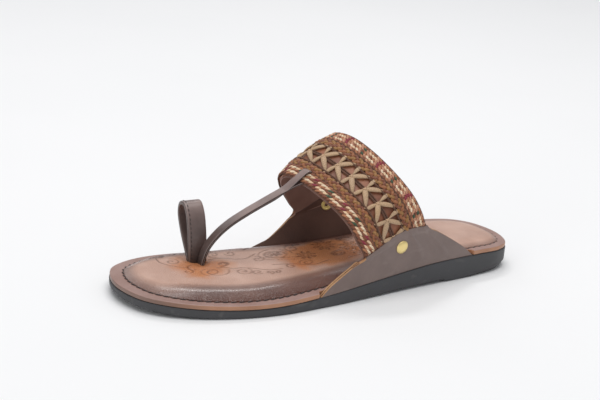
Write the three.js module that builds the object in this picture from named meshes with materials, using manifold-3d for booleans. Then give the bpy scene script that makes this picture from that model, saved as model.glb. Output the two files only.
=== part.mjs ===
// A left-foot kolhapuri sandal: a low rubber wedge sole, a leather board, a crowned footbed, an instep band held
// between two leather wings with a rivet each, a toe strap that wraps the band's front edge, and a big-toe ring.
// Lengths are in millimetres. +X points to the toe, +Y to the outer (little toe) side and +Z up. The origin lies on
// the floor, under the middle of the sandal's length and width.

import * as THREE from "three";
import { mergeVertices } from "three/addons/utils/BufferGeometryUtils.js";
import Module from "manifold-3d";

const wasm = await Module();
wasm.setup();

// ---------------------------------------------------------------- driving dimensions

const LENGTH = 260; // outsole, heel to toe
const GAP = 0.3; // air left between two pieces that touch
const BOARD_THICKNESS = 2.7; // leather board that the footbed and wings are lasted to
const WALL = 3.0; // leather outside, leather lining and the band's backing between them
const WING_INSET = 0.6; // the wings' outer faces stand this far inside the outsole's edge
const LASTING_WIDTH = 12; // the wings' lower margins, turned in under the board
const LASTING_THICKNESS = 1.4;
const LASTING_LIFT = 0.1; // the turned-in margin's underside stands this far above the wall's lower edge
const BAND_WIDTH = 44.5; // instep band, front edge to rear edge
const BAND_CROWN = 2.7; // how far the band's middle stands above its edges
const BAND_SLOPE = THREE.MathUtils.degToRad(33); // the instep falls to the toe at this angle
const INSTEP = new THREE.Vector3(0, 0, 75); // datum on the instep, under the middle of the band
const STRAP = { width: 7.0, thickness: 2.2 }; // toe strap, folded leather
const RING = { width: 12, thickness: 2.2 }; // toe ring, folded leather
const RIVET = { head: 4.2, shank: 1.6, bore: 0.9, flange: 3.4, plate: 0.8 }; // radii, and the plates' thickness
const RIVET_SEAT = { outside: 0.45, inside: 0.8 }; // air between a rivet's plates and the curved wall
// Openings through footbed and board between the first and second toe, one for each strap's root.
const SLOTS = [
  { x: 72.8, y: -20.95, length: 12.8, width: 6.3 },
  { x: 72.6, y: -14.7, length: 3.9, width: 8.6 },
];

// The sole seen from above: distance from the heel's back, and half-widths to the outer and inner side.
const SOLE_ROWS = [
  { along: 5, outer: 18.8, inner: 17.8 },
  { along: 15, outer: 26.2, inner: 27.0 },
  { along: 32, outer: 30.0, inner: 31.2 },
  { along: 60, outer: 33.2, inner: 31.2 },
  { along: 90, outer: 37.0, inner: 30.2 },
  { along: 120, outer: 41.3, inner: 32.4 },
  { along: 150, outer: 44.9, inner: 37.4 },
  { along: 180, outer: 46.6, inner: 43.4 },
  { along: 205, outer: 43.4, inner: 46.6 },
  { along: 227, outer: 36.4, inner: 44.9 },
  { along: 244, outer: 26.4, inner: 38.0 },
  { along: 254.5, outer: 14.4, inner: 28.6 },
];
const HEEL_TIP_Y = 1.6;
const TOE_TIP_Y = -8;

// The sole seen from the side: height of the outsole's top, and how far the footbed stands above its board.
const PROFILE_ROWS = [
  { along: 0, top: 12.7, crown: 1.8 },
  { along: 35, top: 14.3, crown: 2.6 },
  { along: 65, top: 14.0, crown: 3.2 },
  { along: 95, top: 11.9, crown: 3.6 },
  { along: 125, top: 9.2, crown: 3.9 },
  { along: 150, top: 6.9, crown: 4.8 },
  { along: 175, top: 5.3, crown: 5.2 },
  { along: 195, top: 4.9, crown: 5.1 },
  { along: 220, top: 5.6, crown: 4.8 },
  { along: 245, top: 6.9, crown: 3.6 },
  { along: 260, top: 7.8, crown: 2.3 },
];

// The instep band, a row for each line across the arch from its outer foot to its inner foot. y and drop place the
// line's front and rear end (drop is measured square to the instep's slope), shift moves the line towards the toe.
const BAND_ROWS = [
  { y: 42.0, rearY: 38.0, drop: 44.0, rearDrop: 56.0, shift: -1.2 },
  { y: 39.5, rearY: 37.2, drop: 34.5, rearDrop: 47.0, shift: -2.6 },
  { y: 36.0, rearY: 33.4, drop: 25.5, rearDrop: 38.3, shift: -4.2 },
  { y: 30.0, rearY: 27.6, drop: 18.0, rearDrop: 29.4, shift: -4.6 },
  { y: 20.0, rearY: 18.8, drop: 10.8, rearDrop: 18.8, shift: -4.0 },
  { y: 8.0, rearY: 8.3, drop: 4.6, rearDrop: 9.2, shift: -2.8 },
  { y: -4.0, rearY: -3.0, drop: -0.4, rearDrop: 2.0, shift: -0.8 },
  { y: -13.0, rearY: -12.0, drop: -2.8, rearDrop: -0.5, shift: 1.6 },
  { y: -21.0, rearY: -20.0, drop: 1.6, rearDrop: 0.8, shift: 3.6 },
  { y: -27.5, rearY: -26.0, drop: 10.8, rearDrop: 9.5, shift: 4.2 },
  { y: -32.5, rearY: -30.2, drop: 20.5, rearDrop: 21.0, shift: 3.4 },
  { y: -36.0, rearY: -32.2, drop: 30.0, rearDrop: 35.0, shift: 2.4 },
  { y: -38.0, rearY: -33.0, drop: 38.5, rearDrop: 50.0, shift: 1.8 },
];

// Where each wing leaves the sole, and where its rivet sits: height as a share of the wing's, and back from its front.
// The eases bend the front and rear edges: 1 is straight, less flares out at the foot and more is full above it.
const WINGS = {
  outer: { side: 1, front: 23.0, rear: -91.3, frontEase: 1.2, rearEase: 1.18, rivetUp: 0.78, rivetBack: 0.55 },
  inner: { side: -1, front: 31.5, rear: -88.0, frontEase: 0.6, rearEase: 1.18, rivetUp: 0.88, rivetBack: 0.46 },
};
const WING_LEVELS = [0, 0.25, 0.5, 0.75];

// The toe strap's centre line, from its root in the slot to the band. turn is the way that its width faces: 0 along
// the foot, 90 across it.
const STRAP_ROWS = [
  { x: 72.6, y: -14.4, z: 5.6, turn: 87 },
  { x: 72.6, y: -14.4, z: 13.0, turn: 87 },
  { x: 70.6, y: -14.2, z: 20.4, turn: 88 },
  { x: 68.0, y: -13.9, z: 25.0, turn: 88 },
  { x: 63.0, y: -13.2, z: 31.0, turn: 89 },
  { x: 56.5, y: -12.0, z: 36.8, turn: 90 },
  { x: 47.1, y: -10.0, z: 43.2, turn: 90 },
  { x: 38.9, y: -8.2, z: 48.2, turn: 90 },
  { x: 31.0, y: -6.5, z: 52.9, turn: 90 },
];
// The strap's end: its lower leather goes on under the band, its upper leather over the band's front edge. ahead is
// measured along the instep's slope and lift square to it.
const UNDER_ROWS = [
  { ahead: 31.0, y: -4.9, lift: -1.6 },
  { ahead: 24.5, y: -3.2, lift: -2.2 },
  { ahead: 20.0, y: -2.6, lift: -2.9 },
  { ahead: 14.5, y: -2.2, lift: -2.7 },
  { ahead: 9.0, y: -2.0, lift: -2.2 },
];
const OVER_ROWS = [
  { ahead: 32.0, y: -5.2, lift: -1.0 },
  { ahead: 27.5, y: -3.9, lift: -0.4 },
  { ahead: 23.5, y: -2.9, lift: 0.4 },
  { ahead: 20.0, y: -2.3, lift: 1.2 },
  { ahead: 15.5, y: -1.8, lift: 2.0 },
  { ahead: 12.0, y: -1.5, lift: 2.2 },
  { ahead: 10.2, y: -1.4, lift: 1.7 },
];
const WRAP = { width: 7.0, thickness: 1.6 };

// The toe ring's centre line: up from the slot, over the big toe and back down. It leans to the inner side.
const RING_X = 72.8;
const RING_ROWS = [
  { y: -19.5, z: 5.6 },
  { y: -19.5, z: 13.0 },
  { y: -20.2, z: 22.0 },
  { y: -22.2, z: 32.5 },
  { y: -25.2, z: 40.6 },
  { y: -30.0, z: 45.2 },
  { y: -35.2, z: 44.0 },
  { y: -37.0, z: 38.2 },
  { y: -32.6, z: 28.0 },
  { y: -25.4, z: 18.0 },
  { y: -22.0, z: 13.4 },
  { y: -22.0, z: 5.6 },
];

// Faceting
const SOLE_STEPS = 39; // round each half of the sole's outline
const BAND_STEPS = 52; // across the arch, wing to wing
const BAND_COLUMNS = 12; // from the band's front edge to its rear edge
const SLIVER = 0.02; // edges shorter than this, left where two shapes were joined, are closed up

// ---------------------------------------------------------------- small tools

const lerp = THREE.MathUtils.lerp;

// A smooth curve through a table's column, read at any distance from the heel's back.
function column(rows, name) {
  const curve = new THREE.CubicInterpolant(
    rows.map((row) => row.along),
    rows.map((row) => row[name]),
    1,
    new Float64Array(1),
  );
  return (x) => curve.evaluate(THREE.MathUtils.clamp(x + LENGTH / 2, 0, LENGTH))[0];
}
const soleTop = column(PROFILE_ROWS, "top");
const footbedCrown = column(PROFILE_ROWS, "crown");
const boardTop = (x) => soleTop(x) + GAP + BOARD_THICKNESS;

// A closed geometry from rows of points, each row a closed loop of the same length. Loops that have collapsed to a
// line close by themselves. With caps, the first and last loop are filled by a fan.
function skin(loops, caps = false) {
  const count = loops[0].length;
  const points = loops.flat();
  const faces = [];
  for (let i = 0; i + 1 < loops.length; i++) {
    for (let j = 0; j < count; j++) {
      const a = i * count + j;
      const b = i * count + ((j + 1) % count);
      faces.push(a, b, b + count, a, b + count, a + count);
    }
  }
  if (caps) {
    const last = (loops.length - 1) * count;
    for (let j = 1; j + 1 < count; j++) {
      faces.push(0, j + 1, j, last, last + j, last + j + 1);
    }
  }
  const geometry = new THREE.BufferGeometry().setFromPoints(points);
  geometry.setIndex(faces);
  return closed(geometry);
}

// A manifold-3d solid from a geometry, with collapsed faces left out and its faces turned outwards.
function closed(geometry) {
  const bare = new THREE.BufferGeometry();
  bare.setAttribute("position", geometry.getAttribute("position"));
  bare.setIndex(geometry.index);
  const merged = mergeVertices(bare, 1e-3);
  const index = merged.index.array;
  const kept = [];
  for (let i = 0; i < index.length; i += 3) {
    const [a, b, c] = [index[i], index[i + 1], index[i + 2]];
    if (a !== b && b !== c && a !== c) kept.push(a, b, c);
  }
  const vertProperties = merged.attributes.position.array;
  const solidOf = (triangles) =>
    new wasm.Manifold(new wasm.Mesh({ numProp: 3, vertProperties, triVerts: new Uint32Array(triangles) }));
  const solid = solidOf(kept);
  return solid.volume() > 0 ? solid : solidOf(kept.toReversed());
}

// A strap: a flat section with eased edges, swept along a smooth line through points. turns gives the way that its
// width faces at each point, in degrees from the foot's length.
function strapSolid(points, turns, width, thickness, steps) {
  const line = new THREE.CatmullRomCurve3(points, false, "centripetal");
  const ease = thickness * 0.3;
  const [halfWidth, halfThickness] = [width / 2, thickness / 2];
  const section = [
    [-halfWidth, -halfThickness + ease],
    [-halfWidth + ease, -halfThickness],
    [halfWidth - ease, -halfThickness],
    [halfWidth, -halfThickness + ease],
    [halfWidth, halfThickness - ease],
    [halfWidth - ease, halfThickness],
    [-halfWidth + ease, halfThickness],
    [-halfWidth, halfThickness - ease],
  ];
  const loops = [];
  for (let k = 0; k <= steps; k++) {
    const t = k / steps;
    const centre = line.getPoint(t);
    const along = line.getTangent(t);
    const at = t * (turns.length - 1);
    const low = Math.min(Math.floor(at), turns.length - 2);
    const turn = THREE.MathUtils.degToRad(lerp(turns[low], turns[low + 1], at - low));
    const across = new THREE.Vector3(Math.cos(turn), Math.sin(turn), 0);
    across.addScaledVector(along, -across.dot(along)).normalize();
    const up = new THREE.Vector3().crossVectors(along, across);
    loops.push(section.map(([w, h]) => centre.clone().addScaledVector(across, w).addScaledVector(up, h)));
  }
  return skin(loops, true);
}

// A mesh of one piece in its own material.
function piece(name, solid, colour, roughness, metalness = 0) {
  const { numProp, vertProperties, triVerts, numVert } = solid.simplify(SLIVER).getMesh();
  const positions = new Float32Array(numVert * 3);
  for (let i = 0; i < numVert; i++) {
    positions.set(vertProperties.subarray(i * numProp, i * numProp + 3), i * 3);
  }
  const geometry = new THREE.BufferGeometry();
  geometry.setAttribute("position", new THREE.BufferAttribute(positions, 3));
  geometry.setIndex(new THREE.BufferAttribute(new Uint32Array(triVerts), 1));
  geometry.computeVertexNormals();
  const mesh = new THREE.Mesh(geometry, new THREE.MeshStandardMaterial({ color: colour, roughness, metalness }));
  mesh.name = name;
  return mesh;
}

// ---------------------------------------------------------------- the sole's outline

const outline = new THREE.CatmullRomCurve3(
  [
    new THREE.Vector3(-LENGTH / 2, HEEL_TIP_Y, 0),
    ...SOLE_ROWS.map((row) => new THREE.Vector3(row.along - LENGTH / 2, row.outer, 0)),
    new THREE.Vector3(LENGTH / 2, TOE_TIP_Y, 0),
    ...SOLE_ROWS.toReversed().map((row) => new THREE.Vector3(row.along - LENGTH / 2, -row.inner, 0)),
  ],
  true,
  "centripetal",
);

// The outline's point on one side (1 outer, -1 inner) at a share of the way from heel tip to toe tip, moved inwards.
function edgePoint(side, share, inset) {
  const t = side > 0 ? share / 2 : 1 - share / 2;
  const point = outline.getPoint(t);
  const along = outline.getTangent(t);
  return new THREE.Vector3(point.x + along.y * inset, point.y - along.x * inset, 0);
}

// The same, at a distance forward of the middle of the length.
function edgeAt(side, x, inset) {
  let [low, high] = [0, 1];
  for (let k = 0; k < 24; k++) {
    const middle = (low + high) / 2;
    if (edgePoint(side, middle, inset).x < x) low = middle;
    else high = middle;
  }
  return edgePoint(side, low, inset);
}

// A closed ring round the sole at an inset and a height, both functions of the place. pull draws the ring in to the
// foot's middle line: at 1 it has collapsed onto it.
function ring(inset, height, pull = 0) {
  const side = (sign) =>
    Array.from({ length: SOLE_STEPS + 1 }, (_, k) => {
      const share = k / SOLE_STEPS;
      const middle = edgePoint(1, share, 0).add(edgePoint(-1, share, 0)).multiplyScalar(0.5);
      middle.x *= 0.84;
      const rough = edgePoint(sign, share, 0);
      const point = edgePoint(sign, share, inset(rough.x, sign)).lerp(middle, pull);
      return point.setZ(height(point.x));
    });
  return [...side(1), ...side(-1).slice(1, -1).reverse()];
}

// ---------------------------------------------------------------- outsole

const TOE_SPRING = { from: 70, rise: 2.5 };
const HEEL = { breast: -73, relief: 1.8, fade: 4 }; // the arch is relieved from the heel's breast forward
const SOLE_EDGE_RADIUS = 1.3;
const HEEL_EDGE_RADIUS = 5.0; // at the heel's back, easing into the plain edge by the breast

function soleBottom(x) {
  const reach = Math.max(0, x - TOE_SPRING.from) / (LENGTH / 2 - TOE_SPRING.from);
  return TOE_SPRING.rise * reach * reach;
}

function soleEdge(x) {
  const back = THREE.MathUtils.smoothstep(-x, -HEEL.breast, LENGTH / 2);
  return lerp(SOLE_EDGE_RADIUS, HEEL_EDGE_RADIUS, back);
}

function outsoleSolid() {
  const body = skin([
    ring(() => 0, soleTop, 1),
    ring(() => 0, soleTop, 0.4),
    ring(() => 0.4, soleTop),
    ring(() => 0, (x) => soleTop(x) - 0.4),
    ring(() => 0.2, (x) => soleBottom(x) + soleEdge(x)),
    ring((x) => 0.2 + soleEdge(x) * 0.3, (x) => soleBottom(x) + soleEdge(x) * 0.3),
    ring((x) => 0.2 + soleEdge(x), soleBottom),
    ring(() => 0, soleBottom, 0.4),
    ring(() => 0, soleBottom, 1),
  ]);
  const arch = new THREE.Shape();
  arch.moveTo(HEEL.breast, -1);
  arch.quadraticCurveTo(HEEL.breast + 1, HEEL.relief, HEEL.breast + 7, HEEL.relief);
  arch.quadraticCurveTo(-30, HEEL.relief, HEEL.fade, 0);
  arch.lineTo(HEEL.fade + 2, -1);
  const cutter = new THREE.ExtrudeGeometry(arch, { depth: 120, bevelEnabled: false, curveSegments: 5 });
  cutter.rotateX(Math.PI / 2);
  cutter.translate(0, 60, 0);
  return body.subtract(solidFrom(cutter));
}

// A three.js geometry as a solid.
function solidFrom(geometry) {
  const bare = geometry.index ? geometry.toNonIndexed() : geometry;
  bare.deleteAttribute("normal");
  bare.deleteAttribute("uv");
  return closed(mergeVertices(bare, 1e-3));
}

// The slots' air, grown by some clearance, from the floor up.
function slotsSolid(grow) {
  const blocks = SLOTS.map((slot) => {
    const block = new THREE.BoxGeometry(slot.length + 2 * grow, slot.width + 2 * grow, 60);
    return solidFrom(block.translate(slot.x, slot.y, 0));
  });
  return blocks[0].add(blocks[1]);
}

// A strip that follows the sole's edge between two insets, from the wing's front to its rear.
function edgeStrip(wing, insets, heights, slack = 0) {
  const steps = 18;
  const loops = Array.from({ length: steps + 1 }, (_, k) => {
    const x = lerp(wing.front + slack, wing.rear - slack, k / steps);
    const [out, inside] = insets.map((inset) => edgeAt(wing.side, x, inset));
    const [low, high] = heights.map((height) => soleTop(x) + height);
    return [out.clone().setZ(low), inside.clone().setZ(low), inside.clone().setZ(high), out.clone().setZ(high)];
  });
  return skin(loops, true);
}

// ---------------------------------------------------------------- board and footbed

function boardSolid() {
  const inset = () => 0.3;
  const under = (x) => soleTop(x) + GAP;
  let board = skin([
    ring(() => 0, under, 1),
    ring(() => 0, under, 0.4),
    ring(inset, under),
    ring(inset, (x) => boardTop(x) - 0.5),
    ring((x) => inset(x) + 0.5, boardTop),
    ring(() => 0, boardTop, 0.4),
    ring(() => 0, boardTop, 1),
  ]);
  for (const wing of Object.values(WINGS)) {
    const wallRoom = WING_INSET + WALL + GAP + 1.0;
    board = board.subtract(edgeStrip(wing, [-4, wallRoom], [-2, 8], 4 * GAP));
    const margin = [-4, WING_INSET + LASTING_WIDTH + GAP];
    board = board.subtract(edgeStrip(wing, margin, [-2, 2 * GAP + LASTING_THICKNESS], GAP));
  }
  return board.subtract(slotsSolid(GAP));
}

// The flat margin of board left round the footbed, to its outer and inner side.
const MARGIN_ROWS = [
  { along: 0, outer: 6.0, inner: 6.0 },
  { along: 60, outer: 5.8, inner: 5.8 },
  { along: 150, outer: 7.4, inner: 6.0 },
  { along: 215, outer: 6.4, inner: 6.2 },
  { along: 260, outer: 8.6, inner: 8.6 },
];
const outerMargin = column(MARGIN_ROWS, "outer");
const innerMargin = column(MARGIN_ROWS, "inner");

function footbedSolid() {
  const level = (share) => (x) => boardTop(x) + GAP + share * footbedCrown(x);
  const inset = (extra) => (x, side) => (side > 0 ? outerMargin(x) : innerMargin(x)) + extra;
  const pad = skin([
    ring(() => 0, level(0), 1),
    ring(inset(6), level(0)),
    ring(inset(0.4), level(0)),
    ring(inset(0), level(0.22)),
    ring(inset(0.8), level(0.54)),
    ring(inset(2.6), level(0.83)),
    ring(inset(5.6), level(0.95)),
    ring(inset(10), level(0.99)),
    ring(() => 0, level(1), 0.7),
    ring(() => 0, level(1), 1),
  ]);
  return pad.subtract(slotsSolid(0));
}

// ---------------------------------------------------------------- upper

// A place on the instep: ahead along its slope, lift square to it.
function onInstep(ahead, y, lift) {
  const [c, s] = [Math.cos(BAND_SLOPE), Math.sin(BAND_SLOPE)];
  return new THREE.Vector3(INSTEP.x + ahead * c + lift * s, y, INSTEP.z - ahead * s + lift * c);
}

// The band's line across one row of its table, read at a share of the way from its front edge to its rear edge.
function bandPoint(row, back) {
  const ahead = row.shift + BAND_WIDTH * (0.5 - back);
  return onInstep(ahead, lerp(row.y, row.rearY, back), -lerp(row.drop, row.rearDrop, back));
}

// A wing's surface, from the sole's edge (up 0) to the band's foot (up 1).
function wingPoint(wing, foot, up, back) {
  const base = edgeAt(wing.side, lerp(wing.front, wing.rear, back), WING_INSET);
  base.z = soleTop(base.x) + GAP;
  const top = bandPoint(foot, back);
  const x = lerp(base.x, top.x, up ** lerp(wing.frontEase, wing.rearEase, back));
  return new THREE.Vector3(x, lerp(base.y, top.y, up), lerp(base.z, top.z, up));
}

const OUTER_FOOT = BAND_ROWS[0];
const INNER_FOOT = BAND_ROWS[BAND_ROWS.length - 1];

// The upper's outer face along one line over the arch, from the outer wing's base to the inner wing's base.
function upperLine(back) {
  return new THREE.CatmullRomCurve3(
    [
      ...WING_LEVELS.map((up) => wingPoint(WINGS.outer, OUTER_FOOT, up, back)),
      ...BAND_ROWS.map((row) => bandPoint(row, back)),
      ...WING_LEVELS.toReversed().map((up) => wingPoint(WINGS.inner, INNER_FOOT, up, back)),
    ],
    false,
    "centripetal",
  );
}
const WING_SHARE = WING_LEVELS.length / (BAND_ROWS.length + 2 * WING_LEVELS.length - 1); // of a line's length
const upperLines = Array.from({ length: BAND_COLUMNS + 1 }, (_, k) => upperLine(k / BAND_COLUMNS));

// The upper's outer face as a grid: [across the arch][front to rear], and the way out from it at each point.
const upperFace = Array.from({ length: BAND_STEPS + 1 }, (_, i) =>
  upperLines.map((line) => line.getPoint(i / BAND_STEPS)),
);
const upperOut = upperFace.map((row, i) =>
  row.map((_, j) => {
    const across = new THREE.Vector3().subVectors(
      upperFace[Math.min(i + 1, BAND_STEPS)][j],
      upperFace[Math.max(i - 1, 0)][j],
    );
    const rearwards = new THREE.Vector3().subVectors(row[Math.min(j + 1, BAND_COLUMNS)], row[Math.max(j - 1, 0)]);
    return new THREE.Vector3().crossVectors(rearwards, across).normalize();
  }),
);

function upperWall() {
  const loops = upperFace.map((row, i) => {
    const t = i / BAND_STEPS;
    const onBand = THREE.MathUtils.smoothstep(Math.min(t, 1 - t), WING_SHARE, WING_SHARE + 0.12);
    const moved = (j, by) => row[j].clone().addScaledVector(upperOut[i][j], by);
    const crown = (j) => (4 * BAND_CROWN * onBand * j * (BAND_COLUMNS - j)) / BAND_COLUMNS ** 2;
    const outside = row.map((_, j) => moved(j, crown(j)));
    const inside = row.map((_, j) => moved(j, crown(j) - WALL));
    return [...outside, ...inside.reverse()];
  });
  return skinOpen(loops);
}

// Like skin, with end caps for a long thin loop: quads from its outer half to its inner half.
function skinOpen(loops) {
  const count = loops[0].length;
  const half = count / 2;
  const faces = [];
  for (let i = 0; i + 1 < loops.length; i++) {
    for (let j = 0; j < count; j++) {
      const a = i * count + j;
      const b = i * count + ((j + 1) % count);
      faces.push(a, b, b + count, a, b + count, a + count);
    }
  }
  const last = (loops.length - 1) * count;
  for (let j = 0; j + 1 < half; j++) {
    const [a, b, c, d] = [j, j + 1, count - 2 - j, count - 1 - j];
    faces.push(a, c, b, a, d, c);
    faces.push(last + a, last + b, last + c, last + a, last + c, last + d);
  }
  const geometry = new THREE.BufferGeometry().setFromPoints(loops.flat());
  geometry.setIndex(faces);
  return closed(geometry);
}

// Where a wing's rivet goes through: the face's point and the way out.
function rivetPlace(wing) {
  const { rivetUp, rivetBack: back } = wing;
  const t = wing.side > 0 ? rivetUp * WING_SHARE : 1 - rivetUp * WING_SHARE;
  const across = upperLine(back).getTangent(t);
  const rearwards = upperLine(back + 0.05).getPoint(t).sub(upperLine(back - 0.05).getPoint(t));
  return { point: upperLine(back).getPoint(t), out: new THREE.Vector3().crossVectors(rearwards, across).normalize() };
}

// A turned shape about a rivet's axis. The profile is in radius and height above the wing's face.
function turned(profile, place, segments) {
  const lathe = new THREE.LatheGeometry(profile.map(([r, h]) => new THREE.Vector2(r, h)), segments);
  lathe.applyQuaternion(new THREE.Quaternion().setFromUnitVectors(new THREE.Vector3(0, 1, 0), place.out));
  lathe.translate(place.point.x, place.point.y, place.point.z);
  return solidFrom(lathe);
}

function upperSolid() {
  let upper = upperWall();
  for (const wing of Object.values(WINGS)) {
    const insets = [WING_INSET + WALL / 2, WING_INSET + LASTING_WIDTH];
    upper = upper.add(edgeStrip(wing, insets, [GAP + LASTING_LIFT, GAP + LASTING_THICKNESS]));
  }
  const underLine = UNDER_ROWS.map((row) => onInstep(row.ahead, row.y, row.lift));
  const strapLine = [...STRAP_ROWS.map((row) => new THREE.Vector3(row.x, row.y, row.z)), ...underLine.slice(1)];
  const strapTurns = [...STRAP_ROWS.map((row) => row.turn), ...underLine.slice(1).map(() => 90)];
  upper = upper.add(strapSolid(strapLine, strapTurns, STRAP.width, STRAP.thickness, 44));
  const overLine = OVER_ROWS.map((row) => onInstep(row.ahead, row.y, row.lift));
  upper = upper.add(strapSolid(overLine, overLine.map(() => 90), WRAP.width, WRAP.thickness, 18));
  const shankHole = RIVET.shank + GAP;
  for (const wing of Object.values(WINGS)) {
    const hole = [[0, -2 * WALL], [shankHole, -2 * WALL], [shankHole, WALL], [0, WALL]];
    upper = upper.subtract(turned(hole, rivetPlace(wing), 16));
  }
  return upper;
}

// ---------------------------------------------------------------- toe ring and rivets

function toeRingSolid() {
  const points = RING_ROWS.map((row) => new THREE.Vector3(RING_X, row.y, row.z));
  return strapSolid(points, RING_ROWS.map(() => 0), RING.width, RING.thickness, 44);
}

// A tubular rivet: a domed head outside, a shank through both leathers and a rolled flange inside.
function rivetSolid(wing) {
  const { head, shank, bore, flange, plate } = RIVET;
  const under = -WALL - RIVET_SEAT.inside;
  const over = RIVET_SEAT.outside;
  return turned(
    [
      [0, over + plate + 0.4],
      [head * 0.55, over + plate + 0.3],
      [head * 0.88, over + plate],
      [head, over + plate * 0.4],
      [head * 0.97, over],
      [shank, over],
      [shank, under],
      [flange, under],
      [flange * 0.95, under - plate * 0.6],
      [flange * 0.7, under - plate],
      [bore, under - plate * 0.5],
      [bore, -WALL * 0.4],
      [0, -WALL * 0.4],
    ],
    rivetPlace(wing),
    20,
  );
}

// ---------------------------------------------------------------- the sandal

const sandal = new THREE.Group();
sandal.add(
  piece("outsole", outsoleSolid(), 0x303234, 0.75),
  piece("board", boardSolid(), 0x8a5a3c, 0.6),
  piece("footbed", footbedSolid(), 0x8f5c40, 0.45),
  piece("upper", upperSolid(), 0x5d4a42, 0.6),
  piece("toe_ring", toeRingSolid(), 0x4c3d3a, 0.55),
  piece("rivet_outer", rivetSolid(WINGS.outer), 0xd8b45a, 0.3, 1),
  piece("rivet_inner", rivetSolid(WINGS.inner), 0xd8b45a, 0.3, 1),
);

export default sandal;
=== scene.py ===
# A left-foot kolhapuri sandal built up as a maker would: rubber sole, leather board, padded footbed, instep
# band with its braids and raffia stars, the two riveted wings, the toe strap and the big-toe ring. Tables
# are in millimetres and become metres when a mesh is made. +X is the toe, +Y the outer side.
import math

import bpy
import numpy as np
from mathutils import Matrix, Vector


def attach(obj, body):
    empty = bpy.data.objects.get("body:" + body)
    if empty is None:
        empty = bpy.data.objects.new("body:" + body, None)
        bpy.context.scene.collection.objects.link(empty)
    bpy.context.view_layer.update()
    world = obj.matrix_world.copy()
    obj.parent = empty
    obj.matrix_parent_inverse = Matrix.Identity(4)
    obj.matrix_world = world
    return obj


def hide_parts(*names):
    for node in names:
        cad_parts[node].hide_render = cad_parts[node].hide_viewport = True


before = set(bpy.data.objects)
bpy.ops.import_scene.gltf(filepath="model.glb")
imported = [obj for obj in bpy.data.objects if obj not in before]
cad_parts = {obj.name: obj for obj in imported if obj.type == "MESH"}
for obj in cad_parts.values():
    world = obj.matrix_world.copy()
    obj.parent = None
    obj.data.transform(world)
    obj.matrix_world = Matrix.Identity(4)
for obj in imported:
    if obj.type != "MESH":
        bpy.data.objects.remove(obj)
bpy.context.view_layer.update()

# ------------------------------------------------------------------------------------------------ studio
# A pale seamless table in a bright room, lit by a wide ceiling softbox, a small key over the heel, a narrow
# strip high behind that glances off the pad's shoulder, and large boxes behind and in front. The camera
# looks down on the outer side from ahead of the toe.
scene = bpy.context.scene
scene.view_settings.view_transform = "Standard"

CAMERA_PLACE = Vector((0.42714, 0.72339, 0.32575))
YAW, PITCH, ROLL = 0.516237, 0.318702, 0.0705128  # radians
ahead = Vector((-math.sin(YAW) * math.cos(PITCH), -math.cos(YAW) * math.cos(PITCH), -math.sin(PITCH)))
level = ahead.cross(Vector((0, 0, 1))).normalized()
upright = level.cross(ahead)
right = math.cos(ROLL) * level + math.sin(ROLL) * upright
above = -math.sin(ROLL) * level + math.cos(ROLL) * upright
bpy.ops.object.camera_add()
camera = bpy.context.object
camera.data.lens = 88.5
camera.data.sensor_width = 36
camera.matrix_world = Matrix.Translation(CAMERA_PLACE) @ Matrix((right, above, -ahead)).transposed().to_4x4()
scene.camera = camera


def colour(red, green, blue):
    """A screen colour, 0 to 255 a channel, as the linear colour that a shader takes."""
    parts = (c / 255 for c in (red, green, blue))
    return (*(c / 12.92 if c <= 0.04045 else ((c + 0.055) / 1.055) ** 2.4 for c in parts), 1)


def softbox(name, place, aim, size, power, tint, depth=None):
    """A rectangular lamp at place that faces aim. depth is its second side where it isn't square."""
    bpy.ops.object.light_add(type="AREA", location=place)
    lamp = bpy.context.object
    lamp.name = name
    lamp.rotation_euler = (Vector(aim) - Vector(place)).to_track_quat("-Z", "Y").to_euler()
    lamp.data.shape, lamp.data.energy, lamp.data.color = "RECTANGLE", power, tint
    lamp.data.size, lamp.data.size_y = size, depth or size


softbox("ceiling_softbox", (0.3, 0.3, 2.4), (0.3, 0.3, 0), 1.7, 24.0, (1, 0.995, 0.99))
softbox("key_softbox", (-0.35, 0.2, 1.35), (0, 0, 0), 0.5, 2.0, (1, 0.98, 0.95))
softbox("shoulder_softbox", (-0.3, -0.85, 1.5), (-0.3, 0, 0), 0.9, 5.5, (1, 0.99, 0.98), 0.2)
softbox("back_softbox", (0.2, -3.0, 1.6), (0, 0, 0.03), 1.3, 3.0, (0.98, 0.99, 1))
softbox("front_softbox", (1.7, 0.6, 0.6), (0, 0, 0.03), 0.9, 4.0, (1, 0.99, 0.98))
world = bpy.data.worlds.new("bright_room")
world.use_nodes = True
world.node_tree.nodes["Background"].inputs["Color"].default_value = (0.97, 0.98, 1, 1)
world.node_tree.nodes["Background"].inputs["Strength"].default_value = 0.46
scene.world = world


def node(tree, kind, inputs=None, **settings):
    """A shader node with its settings, and its inputs given as values or as the sockets that feed them."""
    made = tree.nodes.new("ShaderNode" + kind)
    for key, value in settings.items():
        setattr(made, key, value)
    for key, value in (inputs or {}).items():
        if isinstance(value, bpy.types.NodeSocket):
            tree.links.new(value, made.inputs[key])
        else:
            made.inputs[key].default_value = value
    return made


def blend(tree, factor, first, second, mode="MIX"):
    """Two colours mixed by a factor."""
    return node(tree, "Mix", {0: factor, 6: first, 7: second}, data_type="RGBA", blend_type=mode).outputs[2]


def place_on(tree):
    """The place on the piece itself, so that a pattern stays with it."""
    return node(tree, "TexCoord").outputs["Object"]


def noise(tree, place, scale, detail, **more):
    """Cloudy grey noise."""
    return node(tree, "TexNoise", {"Vector": place, "Scale": scale, "Detail": detail, **more}).outputs["Fac"]


def curve(tree, value, stops):
    """A grey value read through stops of (place, level)."""
    ramp = node(tree, "ValToRGB", {"Fac": value})
    points = ramp.color_ramp.elements
    while len(points) < len(stops):
        points.new(0.5)
    for point, (place, grey) in zip(points, stops):
        point.position, point.color = place, (grey, grey, grey, 1)
    return ramp.outputs["Color"]


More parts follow.
